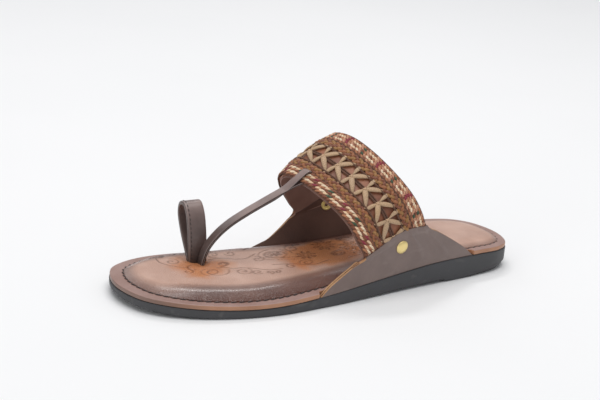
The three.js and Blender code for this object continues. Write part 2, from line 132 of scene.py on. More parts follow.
def material(name, roughness, **sockets):
    """A new material, its node tree and its Principled shader."""
    made = bpy.data.materials.new(name)
    made.use_nodes = True
    shader = made.node_tree.nodes["Principled BSDF"]
    shader.inputs["Roughness"].default_value = roughness
    for key, value in sockets.items():
        shader.inputs[key.replace("_", " ")].default_value = value
    return made, made.node_tree, shader


def feed(tree, shader, base=None, height=None, depth=0.0002, roughness=None):
    """Joins a colour, a bump height of a given depth in metres and a roughness to a shader."""
    if base is not None:
        tree.links.new(base, shader.inputs["Base Color"])
    if roughness is not None:
        tree.links.new(roughness, shader.inputs["Roughness"])
    if height is not None:
        bump = node(tree, "Bump", {"Strength": 1.0, "Distance": depth, "Height": height})
        tree.links.new(bump.outputs["Normal"], shader.inputs["Normal"])


bpy.ops.mesh.primitive_plane_add(size=12)
table = bpy.context.object
table.name = "table"
table_paper, tree, shader = material("table_paper", 0.9, Specular_IOR_Level=0.1)
fibre = noise(tree, place_on(tree), 3.0, 3.0)
feed(tree, shader, blend(tree, fibre, colour(240, 241, 242), colour(246, 246, 247)))
table.data.materials.append(table_paper)

# ------------------------------------------------------------------------------------------------ outsole
# One moulded piece of matt black rubber, thicker under the heel, with a shallow arch relief, toe spring and
# a fine wavy tread. It is cemented under the board.
MM = 0.001
LENGTH = 260
SOLE_ROWS = np.array([  # from the heel's back, half-width outside, half-width inside
    (5, 18.8, 17.8), (15, 26.2, 27.0), (32, 30.0, 31.2), (60, 33.2, 31.2), (90, 37.0, 30.2),
    (120, 41.3, 32.4), (150, 44.9, 37.4), (180, 46.6, 43.4), (205, 43.4, 46.6), (227, 36.4, 44.9),
    (244, 26.4, 38.0), (254.5, 14.4, 28.6),
])
HEEL_TIP, TOE_TIP = (-LENGTH / 2, 1.6), (LENGTH / 2, -8)
PROFILE_ROWS = np.array([  # from the heel's back, the outsole's top, the pad's crown
    (0, 12.7, 1.8), (35, 14.3, 2.6), (65, 14.0, 3.2), (95, 11.9, 3.6), (125, 9.2, 3.9), (150, 6.9, 4.8),
    (175, 5.3, 5.2), (195, 4.9, 5.1), (220, 5.6, 4.8), (245, 6.9, 3.6), (260, 7.8, 2.3),
])
TOE_SPRING_FROM, TOE_SPRING_RISE = 70, 3.6
HEEL_BREAST, ARCH_RELIEF, ARCH_START, ARCH_END = -73, 1.8, -66, 4
LOW_EDGE, LOW_EDGE_AT_HEEL = 1.3, 3.7  # how high the rounded lower edge is, and how much higher at the heel
LOW_INSET, TOP_ROUND = 1.4, 0.4
TREAD_PITCH, TREAD_DEPTH, TREAD_WAVE = 6.5, 0.7, 3.2


def smooth_line(points, t, closed=False):
    """Places at shares t along a centripetal curve through points, and the way that it runs there."""
    p = np.asarray(points, float)
    if closed:
        p, spans = np.concatenate([p[-1:], p, p[:2]]), len(p)
    else:
        p, spans = np.concatenate([2 * p[:1] - p[1:2], p, 2 * p[-1:] - p[-2:-1]]), len(p) - 1
    at = np.clip(np.asarray(t, float) * spans, 0, spans - 1e-9)
    first = at.astype(int)
    w = (at - first).reshape((-1,) + (1,) * (p.ndim - 1))
    a, b, c, d = (p[first + k] for k in range(4))
    before, between, after = (
        np.maximum(((q - r) ** 2).sum(-1, keepdims=True), 1e-12) ** 0.25 for q, r in ((a, b), (b, c), (c, d))
    )
    leave = ((b - a) / before - (c - a) / (before + between) + (c - b) / between) * between
    reach = ((c - b) / between - (d - b) / (between + after) + (d - c) / after) * between
    k2, k3 = 3 * (c - b) - 2 * leave - reach, 2 * (b - c) + leave + reach
    return b + leave * w + k2 * w**2 + k3 * w**3, leave + 2 * k2 * w + 3 * k3 * w**2


def profile(rows, column):
    """A smooth curve through one column of a table, read at any x."""
    along, values = rows[:, 0], rows[:, column]

    def read(x):
        at = np.clip(np.asarray(x, float) + LENGTH / 2, 0, LENGTH)
        i = np.clip(np.searchsorted(along, at, side="right"), 1, len(along) - 1)
        before, after = np.where(i > 1, i - 2, i), np.where(i < len(along) - 1, i + 1, i - 1)
        after = np.minimum(after, len(along) - 1)
        t0, t1 = along[i - 1], along[i]
        p = (at - t0) / (t1 - t0)
        w0, w1 = 0.5 * (t1 - t0) / (t0 - along[before]), 0.5 * (t1 - t0) / (along[after] - t1)
        return (
            (-w0 * p**3 + 2 * w0 * p**2 - w0 * p) * values[before]
            + ((1 + w0) * p**3 + (-1.5 - 2 * w0) * p**2 + (w0 - 0.5) * p + 1) * values[i - 1]
            + ((-1 - w1) * p**3 + (1.5 + w1) * p**2 + 0.5 * p) * values[i]
            + (w1 * p**3 - w1 * p**2) * values[after]
        )

    return read


sole_top = profile(PROFILE_ROWS, 1)
pad_crown = profile(PROFILE_ROWS, 2)
outline = [
    HEEL_TIP,
    *((along - LENGTH / 2, outer) for along, outer, _ in SOLE_ROWS),
    TOE_TIP,
    *((along - LENGTH / 2, -inner) for along, _, inner in SOLE_ROWS[::-1]),
]


def unit(rows):
    """Directions of length 1."""
    return rows / np.linalg.norm(rows, axis=-1, keepdims=True)


def edge(side, share, inset):
    """The sole's edge from heel tip (share 0) to toe tip (1), moved inwards. Side 1 is outer, -1 inner."""
    t = np.where(np.asarray(side) > 0, share / 2, 1 - share / 2)
    point, run = smooth_line(outline, np.ravel(t), closed=True)
    run = unit(run)
    return point + np.ravel(inset)[:, None] * np.stack([run[:, 1], -run[:, 0]], -1)


def smoothstep(x, low, high):
    """0 up to low, 1 from high on, and a smooth rise between them."""
    t = np.clip((x - low) / (high - low), 0, 1)
    return t * t * (3 - 2 * t)


def shaped_grid(name, across, along, place):
    """A grid primitive whose points are moved to place(u, v), with u and v from 0 to 1."""
    bpy.ops.object.select_all(action="DESELECT")
    bpy.ops.mesh.primitive_grid_add(x_subdivisions=across, y_subdivisions=along, size=1)
    piece = bpy.context.object
    piece.name = piece.data.name = name
    flat = np.empty(len(piece.data.vertices) * 3)
    piece.data.vertices.foreach_get("co", flat)
    piece.data.vertices.foreach_set("co", (place(flat[0::3] + 0.5, flat[1::3] + 0.5) * MM).ravel())
    piece.data.update()
    return piece


def edit(piece, *steps):
    """Runs edit-mode operators on the whole mesh of a piece."""
    bpy.ops.object.select_all(action="DESELECT")
    piece.select_set(True)
    bpy.context.view_layer.objects.active = piece
    bpy.ops.object.mode_set(mode="EDIT")
    bpy.ops.mesh.select_all(action="SELECT")
    for step in steps:
        step()
    bpy.ops.object.mode_set(mode="OBJECT")


def close_seams(piece, smooth=40):
    """Merges the grid's meeting edges and turns the faces outwards."""
    edit(
        piece,
        lambda: bpy.ops.mesh.remove_doubles(threshold=2e-6),
        lambda: bpy.ops.mesh.dissolve_degenerate(threshold=1e-7),
        lambda: bpy.ops.mesh.normals_make_consistent(inside=False),
    )
    bpy.ops.object.shade_smooth_by_angle(angle=math.radians(smooth))


def apply_modifier(piece, kind, **settings):
    """Adds a modifier to a piece and applies it at once."""
    bpy.context.view_layer.objects.active = piece
    modifier = piece.modifiers.new(kind.lower(), kind)
    for key, value in settings.items():
        setattr(modifier, key, value)
    bpy.ops.object.modifier_apply(modifier=modifier.name)


def belongs(piece, finish, slot, *nodes):
    """Gives a piece its finish, unless it has its own already, hangs it on the root body and hides the solids it
    stands for.
    """
    if finish is not None:
        piece.data.materials.clear()
        piece.data.materials.append(finish)
    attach(piece, "root")
    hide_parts(*nodes)


def sole_floor(x):
    """How far the underside stands off the floor, for the toe spring and for the relief behind the ball."""
    spring = TOE_SPRING_RISE * (np.maximum(0, x - TOE_SPRING_FROM) / (LENGTH / 2 - TOE_SPRING_FROM)) ** 2
    reach = np.clip((x - ARCH_START) / (ARCH_END - ARCH_START), 0, 1)
    relief = ARCH_RELIEF * (1 - reach**2) * smoothstep(x, HEEL_BREAST, HEEL_BREAST + 4)
    return np.maximum(spring, relief)


def sole_section(stations):
    """Spreads the grid's second direction round a section of (share, side, inset, height) stations."""
    at, side, inset, height = (np.array(row, float) for row in zip(*stations))

    def read(v):
        return (np.interp(v, at, column) for column in (side, inset, height))

    return read


def end_packed(u):
    """Rows drawn closer together towards heel and toe."""
    return (1 - np.cos(np.pi * u)) / 2 * 0.35 + u * 0.65


def across_sole(share, side, inset):
    """A place between the outer edge (side 1) and the inner edge (-1), both moved inwards."""
    outer, inner = edge(1, share, inset), edge(-1, share, inset)
    return inner + (outer - inner) * ((side + 1) / 2)[:, None]


def outsole_place(u, v):
    """The outsole's skin. In its stations, height 10 is the top, 9.6 the top's rounded edge and 2.2 the
    flank's foot. What is lower belongs to the rounded lower edge, down to the underside at 0."""
    read = sole_section([
        (0, 1, 0.35, 10), (0.05, -1, 0.35, 10), (0.07, -1, 0, 9.6), (0.13, -1, 0.1, 4),
        (0.15, -1, 0.2, 2.2), (0.17, -1, 0.35, 1.3), (0.19, -1, 0.75, 0.3), (0.21, -1, 1.4, 0),
        (0.79, 1, 1.4, 0), (0.81, 1, 0.75, 0.3), (0.83, 1, 0.35, 1.3), (0.85, 1, 0.2, 2.2),
        (0.87, 1, 0.1, 4), (0.93, 1, 0, 9.6), (0.95, 1, 0.35, 10), (1, 1, 0.35, 10),
    ])
    side, inset, height = read(v)
    share = end_packed(u)
    middle_x = across_sole(share, 0 * u, 0 * u)[:, 0]
    edge_low = LOW_EDGE + LOW_EDGE_AT_HEEL * smoothstep(-middle_x, -HEEL_BREAST, LENGTH / 2)
    flank = np.abs(side) > 0.999
    inset = np.where(flank & (height < 4), inset * np.where(height < 2.3, edge_low / LOW_EDGE, 1), inset)
    inset = np.where(~flank, np.where(height > 5, inset, LOW_INSET * edge_low / LOW_EDGE), inset)
    xy = across_sole(share, side, inset)
    x, y = xy.T
    low, top = sole_floor(x), sole_top(x)
    under = (height <= 2.3) * (height / 2.2) * edge_low
    wall = smoothstep(height, 2.2, 9.6) * (top - TOP_ROUND - low - edge_low) + edge_low
    z = np.where(height > 9.9, top, np.where(height > 2.3, low + wall, low + under))
    z = np.where((height > 9.5) & (height < 9.9), top - TOP_ROUND, z)
    # The tread: wavy grooves across the sole, clear of the edge and of the relieved arch.
    room = smoothstep((1 - np.abs(side)) * 40, 4, 7)
    room = room * smoothstep(share, 0.04, 0.07) * smoothstep(1 - share, 0.03, 0.06)
    worn = smoothstep(0.5 - low, 0, 0.4) + (x > TOE_SPRING_FROM)
    wave = np.abs(((x + TREAD_WAVE * np.sin(y / 4.2)) / TREAD_PITCH) % 1 - 0.5) * 2
    groove = smoothstep(wave, 0.62, 0.86) * room * np.clip(worn, 0, 1) * (height < 0.01)
    return np.stack([x, y, z + TREAD_DEPTH * groove], -1)


outsole = shaped_grid("outsole_rubber", 330, 110, outsole_place)
close_seams(outsole)


def group(name, inputs, outputs):
    """An empty shader node group with named inputs (name, default) and outputs (name, kind)."""
    tree = bpy.data.node_groups.new(name, "ShaderNodeTree")
    for label, default in inputs:
        socket = tree.interface.new_socket(label, in_out="INPUT", socket_type="NodeSocketFloat")
        socket.default_value = default
    for label, kind in outputs:
        tree.interface.new_socket(label, in_out="OUTPUT", socket_type="NodeSocket" + kind)
    return tree, tree.nodes.new("NodeGroupInput").outputs, tree.nodes.new("NodeGroupOutput").inputs


def use(tree, shared, **values):
    """Places a shared group in a material with its own values."""
    made = node(tree, "Group")
    made.node_tree = shared
    for key, value in values.items():
        made.inputs[key.replace("_", " ")].default_value = value
    return made.outputs


# Wear that many finishes share: fine scuffs that run one way, and soft patches of handling and dust.
handling, given, gives = group(
    "handling", [("Scuff Scale", 60), ("Patch Scale", 20)], [("Scuffs", "Float"), ("Patches", "Float")]
)
place = place_on(handling)
stretched = node(handling, "Mapping", {"Vector": place, "Rotation": (0, 0, 0.5), "Scale": (1, 9, 3)})
scratch = noise(handling, stretched.outputs["Vector"], given["Scuff Scale"], 4.0)
handling.links.new(curve(handling, scratch, [(0.60, 0), (0.72, 1)]), gives["Scuffs"])
patch = noise(handling, place, given["Patch Scale"], 5.0, Roughness=0.6)
handling.links.new(curve(handling, patch, [(0.35, 0), (0.65, 1)]), gives["Patches"])

rubber, tree, shader = material("sole_rubber", 0.55, Specular_IOR_Level=0.55)
wear = use(tree, handling, Scuff_Scale=35.0, Patch_Scale=26.0)
skin = noise(tree, place_on(tree), 1500.0, 2.0)
base = blend(tree, wear["Patches"], colour(55, 55, 57), colour(68, 68, 71))
base = blend(tree, wear["Scuffs"], base, colour(86, 85, 84))
feed(tree, shader, base, skin, 0.00012, curve(tree, wear["Patches"], [(0, 0.48), (1, 0.64)]))
belongs(outsole, rubber, "sole_rubber", "outsole")

# ------------------------------------------------------------------------------------------------ board
# A firm leather board with a painted and waxed tan edge, its top covered by the same mauve-brown leather as
# the footbed. It is let in under each wing so that the wing's leather stands outside it.
BOARD_THICKNESS, WING_REBATE = 2.7, 3.9
WING_SPANS = {1: (23.0, -91.3), -1: (31.5, -88.0)}  # where each wing leaves the sole, front and rear
MARGIN_ROWS = np.array([(0, 6, 6), (60, 5.8, 5.8), (150, 7.4, 6.0), (215, 6.4, 6.2), (260, 8.6, 8.6)])
margins = {1: profile(MARGIN_ROWS, 1), -1: profile(MARGIN_ROWS, 2)}
STITCH_PITCH, GROOVE_WIDTH, GROOVE_DEPTH = 4.8, 0.8, 0.15


def board_top(x):
    """The height of the board's upper face."""
    return sole_top(x) + 0.3 + BOARD_THICKNESS


def let_in(side, share):
    """How much deeper the board's edge lies on one side where a wing stands outside it."""
    x = edge(side, share, 0 * share)[:, 0]
    front, rear = WING_SPANS[side]
    return WING_REBATE * smoothstep(front + 0.9 - x, 0, 0.8) * smoothstep(x - rear + 0.9, 0, 0.8)


def pad_edge(side, share, beyond):
    """The line round the pad, moved inwards by beyond."""
    x = edge(side, share, 0 * share)[:, 0]
    return edge(side, share, margins[side](x) + beyond)


ring_shares = np.linspace(0, 1, 700)
pad_ring = np.concatenate([pad_edge(1, ring_shares, 0), pad_edge(-1, ring_shares, 0)[::-1]])


def lengths_along(line):
    """How far along a line each of its points lies."""
    return np.concatenate([[0], np.linalg.norm(np.diff(line, axis=0), axis=1).cumsum()])


ring_length = lengths_along(pad_ring)
sewn_run = {1: ring_length[: len(ring_shares)], -1: ring_length[len(ring_shares) :][::-1]}


def from_line(xy, line, block=4000):
    """How far each point lies from the nearest point of a line."""
    out = np.empty(len(xy))
    for k in range(0, len(xy), block):
        part = xy[k : k + block, None] - line[None]
        out[k : k + block] = np.sqrt((part**2).sum(-1).min(1))
    return out


def board_place(u, v):
    """The board's skin. In its stations, height 4 is the top and 0 the underside."""
    read = sole_section([
        (0, 1, 1.5, 4), (0.30, 1, 12, 4), (0.34, -1, 12, 4), (0.64, -1, 1.5, 4), (0.655, -1, 0.85, 3.9),
        (0.67, -1, 0.45, 3.6), (0.69, -1, 0.3, 3.0), (0.71, -1, 0.3, 2.0), (0.73, -1, 0.35, 1.0),
        (0.75, -1, 0.7, 0), (0.80, -1, 8, 0), (0.85, 1, 8, 0), (0.9, 1, 0.7, 0), (0.915, 1, 0.35, 1.0),
        (0.93, 1, 0.3, 2.0), (0.95, 1, 0.3, 3.0), (0.965, 1, 0.45, 3.6), (0.98, 1, 0.85, 3.9), (1, 1, 1.5, 4),
    ])
    side, inset, height = read(v)
    share = end_packed(u)
    outer, inner = (edge(way, share, inset + let_in(way, share) * (inset < 7)) for way in (1, -1))
    xy = inner + (outer - inner) * ((side + 1) / 2)[:, None]
    x, y = xy.T
    rises = [0, 0.25, 1.0, 2.0, 2.55, 2.72, BOARD_THICKNESS + 0.05]
    rise = np.interp(height, [0, 1, 2, 3, 3.6, 3.9, 4], rises)
    groove = np.exp(-((from_line(xy, pad_ring) - 0.2) / GROOVE_WIDTH) ** 2) * (height > 3.95)
    return np.stack([x, y, sole_top(x) + 0.25 + rise - GROOVE_DEPTH * groove], -1)


board = shaped_grid("board_leather", 430, 104, board_place)
close_seams(board)

# Smooth leather that many pieces share: fine creased grain in two sizes, and a cloudy mottle from the
# tanning.
leather, given, gives = group(
    "leather", [("Grain Scale", 900), ("Mottle Scale", 30)], [("Height", "Float"), ("Mottle", "Float")]
)
place = place_on(leather)
wander = node(leather, "TexNoise", {"Vector": place, "Scale": 220.0, "Detail": 2.0}).outputs["Color"]
shifted = node(leather, "VectorMath", {0: wander, 1: (0.5, 0.5, 0.5)}, operation="SUBTRACT").outputs[0]
shifted = node(leather, "VectorMath", {0: shifted, "Scale": 0.0012}, operation="SCALE").outputs[0]
bent = node(leather, "VectorMath", {0: place, 1: shifted}, operation="ADD").outputs[0]
grain = given["Grain Scale"]
cells = node(leather, "TexVoronoi", {"Vector": bent, "Scale": grain}, feature="DISTANCE_TO_EDGE")
pebble = curve(leather, cells.outputs["Distance"], [(0.0, 0), (0.22, 1)])
crease = noise(leather, bent, grain, 4.0, Distortion=1.2)
leather.links.new(blend(leather, 0.45, pebble, crease), gives["Height"])
cloud = noise(leather, place, given["Mottle Scale"], 5.0, Roughness=0.55)
leather.links.new(curve(leather, cloud, [(0.3, 0), (0.7, 1)]), gives["Mottle"])

board_skin, tree, shader = material("board_leather", 0.45, Coat_Weight=0.15, Coat_Roughness=0.3)
hide, wear = use(tree, leather, Grain_Scale=1300.0, Mottle_Scale=40.0), use(tree, handling)
base = blend(tree, hide["Mottle"], colour(148, 114, 104), colour(166, 136, 128))
facing = node(tree, "SeparateXYZ", {"Vector": node(tree, "NewGeometry").outputs["Normal"]}).outputs["Z"]
upward = curve(tree, facing, [(0.45, 0), (0.8, 1)])
tan = blend(tree, hide["Mottle"], colour(160, 112, 84), colour(192, 142, 110))
lengthways = node(tree, "SeparateXYZ", {"Vector": place_on(tree)}).outputs["X"]
at_toe = node(tree, "MapRange", {"Value": lengthways, "From Min": 0.088, "From Max": 0.118}).outputs["Result"]
tan = blend(tree, at_toe, tan, blend(tree, hide["Mottle"], colour(118, 90, 78), colour(146, 116, 104)))
base = blend(tree, upward, tan, base)
feed(tree, shader, base, hide["Height"], 0.00006, curve(tree, wear["Patches"], [(0, 0.38), (1, 0.5)]))
belongs(board, board_skin, "board_leather", "board")

# ------------------------------------------------------------------------------------------------ footbed
# A thin foam pad skinned in tan leather, glued and stitched down all round. The leather is tooled with
# scrolls, paisleys and petals, stained cognac in the middle and burnished darker on its shoulders. Under the band
# the cognac is painted a little lighter, as painted light against the band's shadow.
SLOTS = [(72.8, -20.95, 12.8, 6.3), (72.6, -14.7, 3.9, 8.6)]  # x, y, length, width of the toe straps' opening
TOOL_DEPTH, TOOL_WIDTH = 0.42, 0.42
PUCKER = 0.22  # how far each stitch draws the pad's edge in


def paisley(x, y, size, turn, flip=1):
    """A drop whose point curls over, with a smaller one inside it and an eye."""
    t = np.linspace(0, 1, 60)
    lines = []
    for grow in (1, 0.62):
        angle = 2 * np.pi * t
        radius = grow * size * (0.5 + 0.08 * np.cos(angle))
        px = radius * np.cos(angle) + grow * size * 0.62 * np.clip(np.cos(angle / 2), 0, 1) ** 6
        py = radius * 0.78 * np.sin(angle) + grow * size * 0.34 * np.clip(np.cos(angle / 2), 0, 1) ** 8
        lines.append(np.stack([px, py * flip], -1))
    eye = size * 0.11 * np.stack([np.cos(2 * np.pi * t[::3]), np.sin(2 * np.pi * t[::3])], -1)
    return [turned(line, x, y, turn) for line in (*lines, eye - [size * 0.12, 0])]


def turned(line, x, y, turn):
    """A line turned by some degrees and moved to a place."""
    c, s = math.cos(math.radians(turn)), math.sin(math.radians(turn))
    return line @ np.array([[c, s], [-s, c]]) + [x, y]


def spiral(x, y, size, turn, turns=1.4, flip=1):
    """A scroll that winds out from its eye."""
    t = np.linspace(0.08, 1, 50)
    angle = 2 * np.pi * turns * t
    round_eye = np.stack([np.cos(angle), flip * np.sin(angle)], -1)
    return [turned(round_eye * (size * t**0.8)[:, None], x, y, turn)]


def petals(x, y, size, count, turn=0):
    """A rosette of leaf shapes round an eye."""
    t = np.linspace(0, 1, 16)
    leaf = np.concatenate([np.stack([t, way * 0.2 * np.sin(np.pi * t)], -1) for way in (1, -1)])
    leaf = leaf * size * 0.6 + [size * 0.42, 0]
    eye = size * 0.26 * np.stack([np.cos(2 * np.pi * t), np.sin(2 * np.pi * t)], -1)
    return [turned(leaf, x, y, turn + 360 * k / count) for k in range(count)] + [eye + [x, y]]


def scroll(*points):
    """A stem through a few points."""
    return [smooth_line(points, np.linspace(0, 1, 24 * len(points)))[0]]


tooling = [
    *spiral(73.5, 1.5, 6.5, 200, 1.6), *spiral(71.0, 0.5, 9.5, 250, 0.8), *spiral(80, -6, 7, 90, 0.6, -1),
    *paisley(60, -8.5, 6.5, 20), *scroll((66, -19), (57, -17), (50, -13), (44, -12), (36, -16)),
    *scroll((64, -4), (58, 0), (52, 1), (46, 5), (40, 10), (32, 12)), *spiral(54.6, 6.2, 5.4, 30, 1.5),
    *spiral(47.2, 10.3, 3.6, 0, 1.3), *spiral(41, 14, 2.8, 150, 1.2, -1), *spiral(35.5, 15, 2.2, 40, 1.1),
    *paisley(27, -10, 21, 168, -1), *spiral(25, -10, 7.5, 40, 1.5), *petals(25, -10, 3.4, 5),
    *scroll((40, -24), (30, -30), (16, -29), (6, -24), (0, -26)), *spiral(38, -8, 4.4, 120, 1.4),
    *spiral(12, -14, 5.4, 30, 1.5, -1), *petals(9, -1, 6.2, 8), *petals(8, -22, 5.2, 7, 20),
    *spiral(14, 9.5, 4.6, 210, 1.4), *spiral(25, 10.5, 3.4, 330, 1.3, -1),
    *scroll((34, 4), (24, 7.5), (12, 14), (0, 12)), *petals(-8, -10, 7.5, 9, 8), *paisley(-9, 5, 8.5, 185),
    *spiral(-2, -22, 4.2, 80, 1.4), *petals(-22, -2, 7, 8), *paisley(-23, -14, 8, 170, -1),
    *spiral(-20, 9, 3.8, 200, 1.3), *petals(-36, -5, 6.5, 8, 12), *spiral(-34, 6, 3.6, 20, 1.3),
    *scroll((-12, 14), (-24, 13), (-36, 12), (-46, 7)),
    *scroll((-6, -28), (-18, -24), (-30, -20), (-46, -13)), *paisley(-48, -3, 6.5, 180),
    *paisley(92, -31, 6, 30, -1), *spiral(89, -20, 5, 160, 1.3), *spiral(84, -33, 3.4, 60, 1.2, -1),
    *scroll((82, -8), (90, -12), (96, -20), (96, -28)), *spiral(86, -3, 3.8, 200, 1.2),
    *spiral(60, -24, 4.2, 300, 1.4), *spiral(50, -22, 3.4, 100, 1.3, -1), *paisley(48, -31, 6, 190),
    *spiral(61, -31, 2.8, 40, 1.2),
]
tooled_line = np.concatenate(tooling)


def pad_place(u, v):
    """The pad's skin. In its stations, height 1 is the crowned top and 0 the foot of its rounded edge."""
    read = sole_section([
        (0, 1, 0, 1), (0.90, -1, 0, 1), (0.91, -1, -0.1, 0.4), (0.92, -1, 0.2, 0), (0.94, -1, 5, -1),
        (0.97, 1, 5, -1), (0.98, 1, 0.2, 0), (0.99, 1, -0.1, 0.4), (1, 1, 0, 1),
    ])
    side, inset, height = read(v)
    share = end_packed(u)
    stitch = {way: 2 * np.pi * np.interp(share, ring_shares, sewn_run[way]) / STITCH_PITCH for way in (1, -1)}
    outer, inner = (pad_edge(way, share, inset + PUCKER * np.cos(stitch[way])) for way in (1, -1))
    xy = inner + (outer - inner) * ((side + 1) / 2)[:, None]
    x, y = xy.T
    deep = from_line(xy, pad_ring)
    top = height > 0.99
    full = 1 - 0.97 * (1 - np.clip(deep, 0, 12.5) / 12.5) ** 2.5
    lines = np.full(len(x), 9.0)
    lines[top] = from_line(xy[top], tooled_line)
    tool = np.exp(-((lines / TOOL_WIDTH) ** 2)) * smoothstep(deep, 3, 6)
    pads = 0.12 * np.sin(x / 7.3 + y / 11) * np.sin(y / 6.1 - x / 17) * smoothstep(deep, 4, 12)
    z = board_top(x) + np.where(top, 0.2 + pad_crown(x) * full, 0.35 * np.maximum(height, 0))
    # The leather dips where the straps go down through it, and the heel and ball are a little trodden.
    for cx, cy, length, width in SLOTS:
        away = np.hypot(np.maximum(0, abs(x - cx) - length / 2), np.maximum(0, abs(y - cy) - width / 2))
        z = z - top * 0.9 * np.exp(-((away / 2.6) ** 2))
    ball = np.exp(-(((x - 45) / 26) ** 2) - ((y + 2) / 20) ** 2)
    heel = np.exp(-(((x + 96) / 22) ** 2) - (y / 15) ** 2)
    z = z + top * (pads - TOOL_DEPTH * tool - 0.35 * ball - 0.3 * heel)
    # Towards toe and heel the dark shoulder narrows, so the distance from the edge is read as larger there.
    widened = deep + 8 * smoothstep(x, 85, 120) + 11 * smoothstep(-x, 58, 92)
    pad_place.marks = {"tooled": tool, "deep": widened}
    return np.stack([x, y, z], -1)


def mark(piece, **values):
    """Stores a number at each point of a piece for its material."""
    for name, numbers in values.items():
        layer = piece.data.attributes.new(name, "FLOAT", "POINT")
        layer.data.foreach_set("value", np.asarray(numbers, np.float32))


pad = shaped_grid("footbed_pad", 520, 188, pad_place)
mark(pad, **pad_place.marks)
close_seams(pad)


def reckon(tree, operation, *values):
    """Arithmetic on numbers and sockets."""
    return node(tree, "Math", dict(enumerate(values)), operation=operation).outputs[0]


def stored(tree, name):
    """A number that mark left on a piece."""
    return node(tree, "Attribute", attribute_name=name).outputs["Fac"]


footbed_skin, tree, shader = material(
    "footbed_leather", 0.36, Specular_IOR_Level=0.65, Coat_Roughness=0.27, Coat_IOR=1.6
)
hide, wear = use(tree, leather, Grain_Scale=1100.0, Mottle_Scale=55.0), use(tree, handling, Patch_Scale=45.0)
place = place_on(tree)


def stain(x, y, length, width, low, high):
    """A soft-edged oval patch on the leather, 1 in its middle. Its place and half-sizes are in metres."""
    inputs = {"Vector": place, "Location": (-x / length, -y / width, 0), "Scale": (1 / length, 1 / width, 0)}
    centred = node(tree, "Mapping", inputs, vector_type="POINT")
    far = node(tree, "VectorMath", {0: centred.outputs["Vector"]}, operation="LENGTH").outputs["Value"]
    ragged = noise(tree, place, 70.0, 4.0)
    return curve(tree, reckon(tree, "MULTIPLY_ADD", ragged, 0.7, far), [(low, 1), (high, 0)])


base = blend(tree, hide["Mottle"], colour(190, 149, 130), colour(210, 172, 154))
around_slot = stain(0.076, -0.008, 0.034, 0.032, 0.72, 1.12)
instep = stain(-0.002, 0.002, 0.052, 0.036, 0.78, 1.2)
cognac = blend(tree, hide["Mottle"], colour(188, 118, 74), colour(206, 140, 94))
base = blend(tree, around_slot, base, cognac)
# The instep's cognac is a real stain, painted a little lighter than that round the slot as painted light against the
# shadow of the band above it.
base = blend(tree, instep, base, blend(tree, hide["Mottle"], colour(196, 124, 78), colour(214, 146, 98)))
from_edge = reckon(tree, "DIVIDE", stored(tree, "deep"), 20.0)  # 1 is 20 mm in from the pad's edge
shoulder = curve(tree, from_edge, [(0.0, 1), (0.3, 0.97), (0.52, 0.7), (0.76, 0)])
darkened = reckon(tree, "MULTIPLY_ADD", instep, -0.5, 1.0)
shoulder = reckon(tree, "MULTIPLY", shoulder, darkened)
base = blend(tree, shoulder, base, blend(tree, hide["Mottle"], colour(84, 42, 28), colour(104, 60, 43)))
base = blend(tree, stored(tree, "tooled"), base, blend(tree, 1.0, base, (0.3, 0.22, 0.18, 1), "MULTIPLY"))
feed(tree, shader, base, hide["Height"], 0.0002, curve(tree, wear["Patches"], [(0, 0.3), (1, 0.42)]))
waxed = curve(tree, from_edge, [(0.08, 0.05), (0.2, 0.25), (0.32, 0.9), (0.46, 0.8), (0.66, 0.14)])
tree.links.new(waxed, shader.inputs["Coat Weight"])
belongs(pad, footbed_skin, "footbed_leather", "footbed")

# ------------------------------------------------------------------------------------------------ perimeter stitches
# One row of waxed dark-brown thread, sewn through footbed and board in the groove at the pad's foot. Each
# stitch is short, slightly slanted and sinks into its holes, and round the heel the row is drawn down into
# the leather.
def frames(centres, outs):
    """Across and up directions for tubes along rows of centres, given a rough way out at each place."""
    run = np.gradient(centres, axis=1)
    run /= np.linalg.norm(run, axis=-1, keepdims=True) + 1e-12
    across = np.cross(outs, run)
    across /= np.linalg.norm(across, axis=-1, keepdims=True) + 1e-12
    return across, np.cross(run, across)


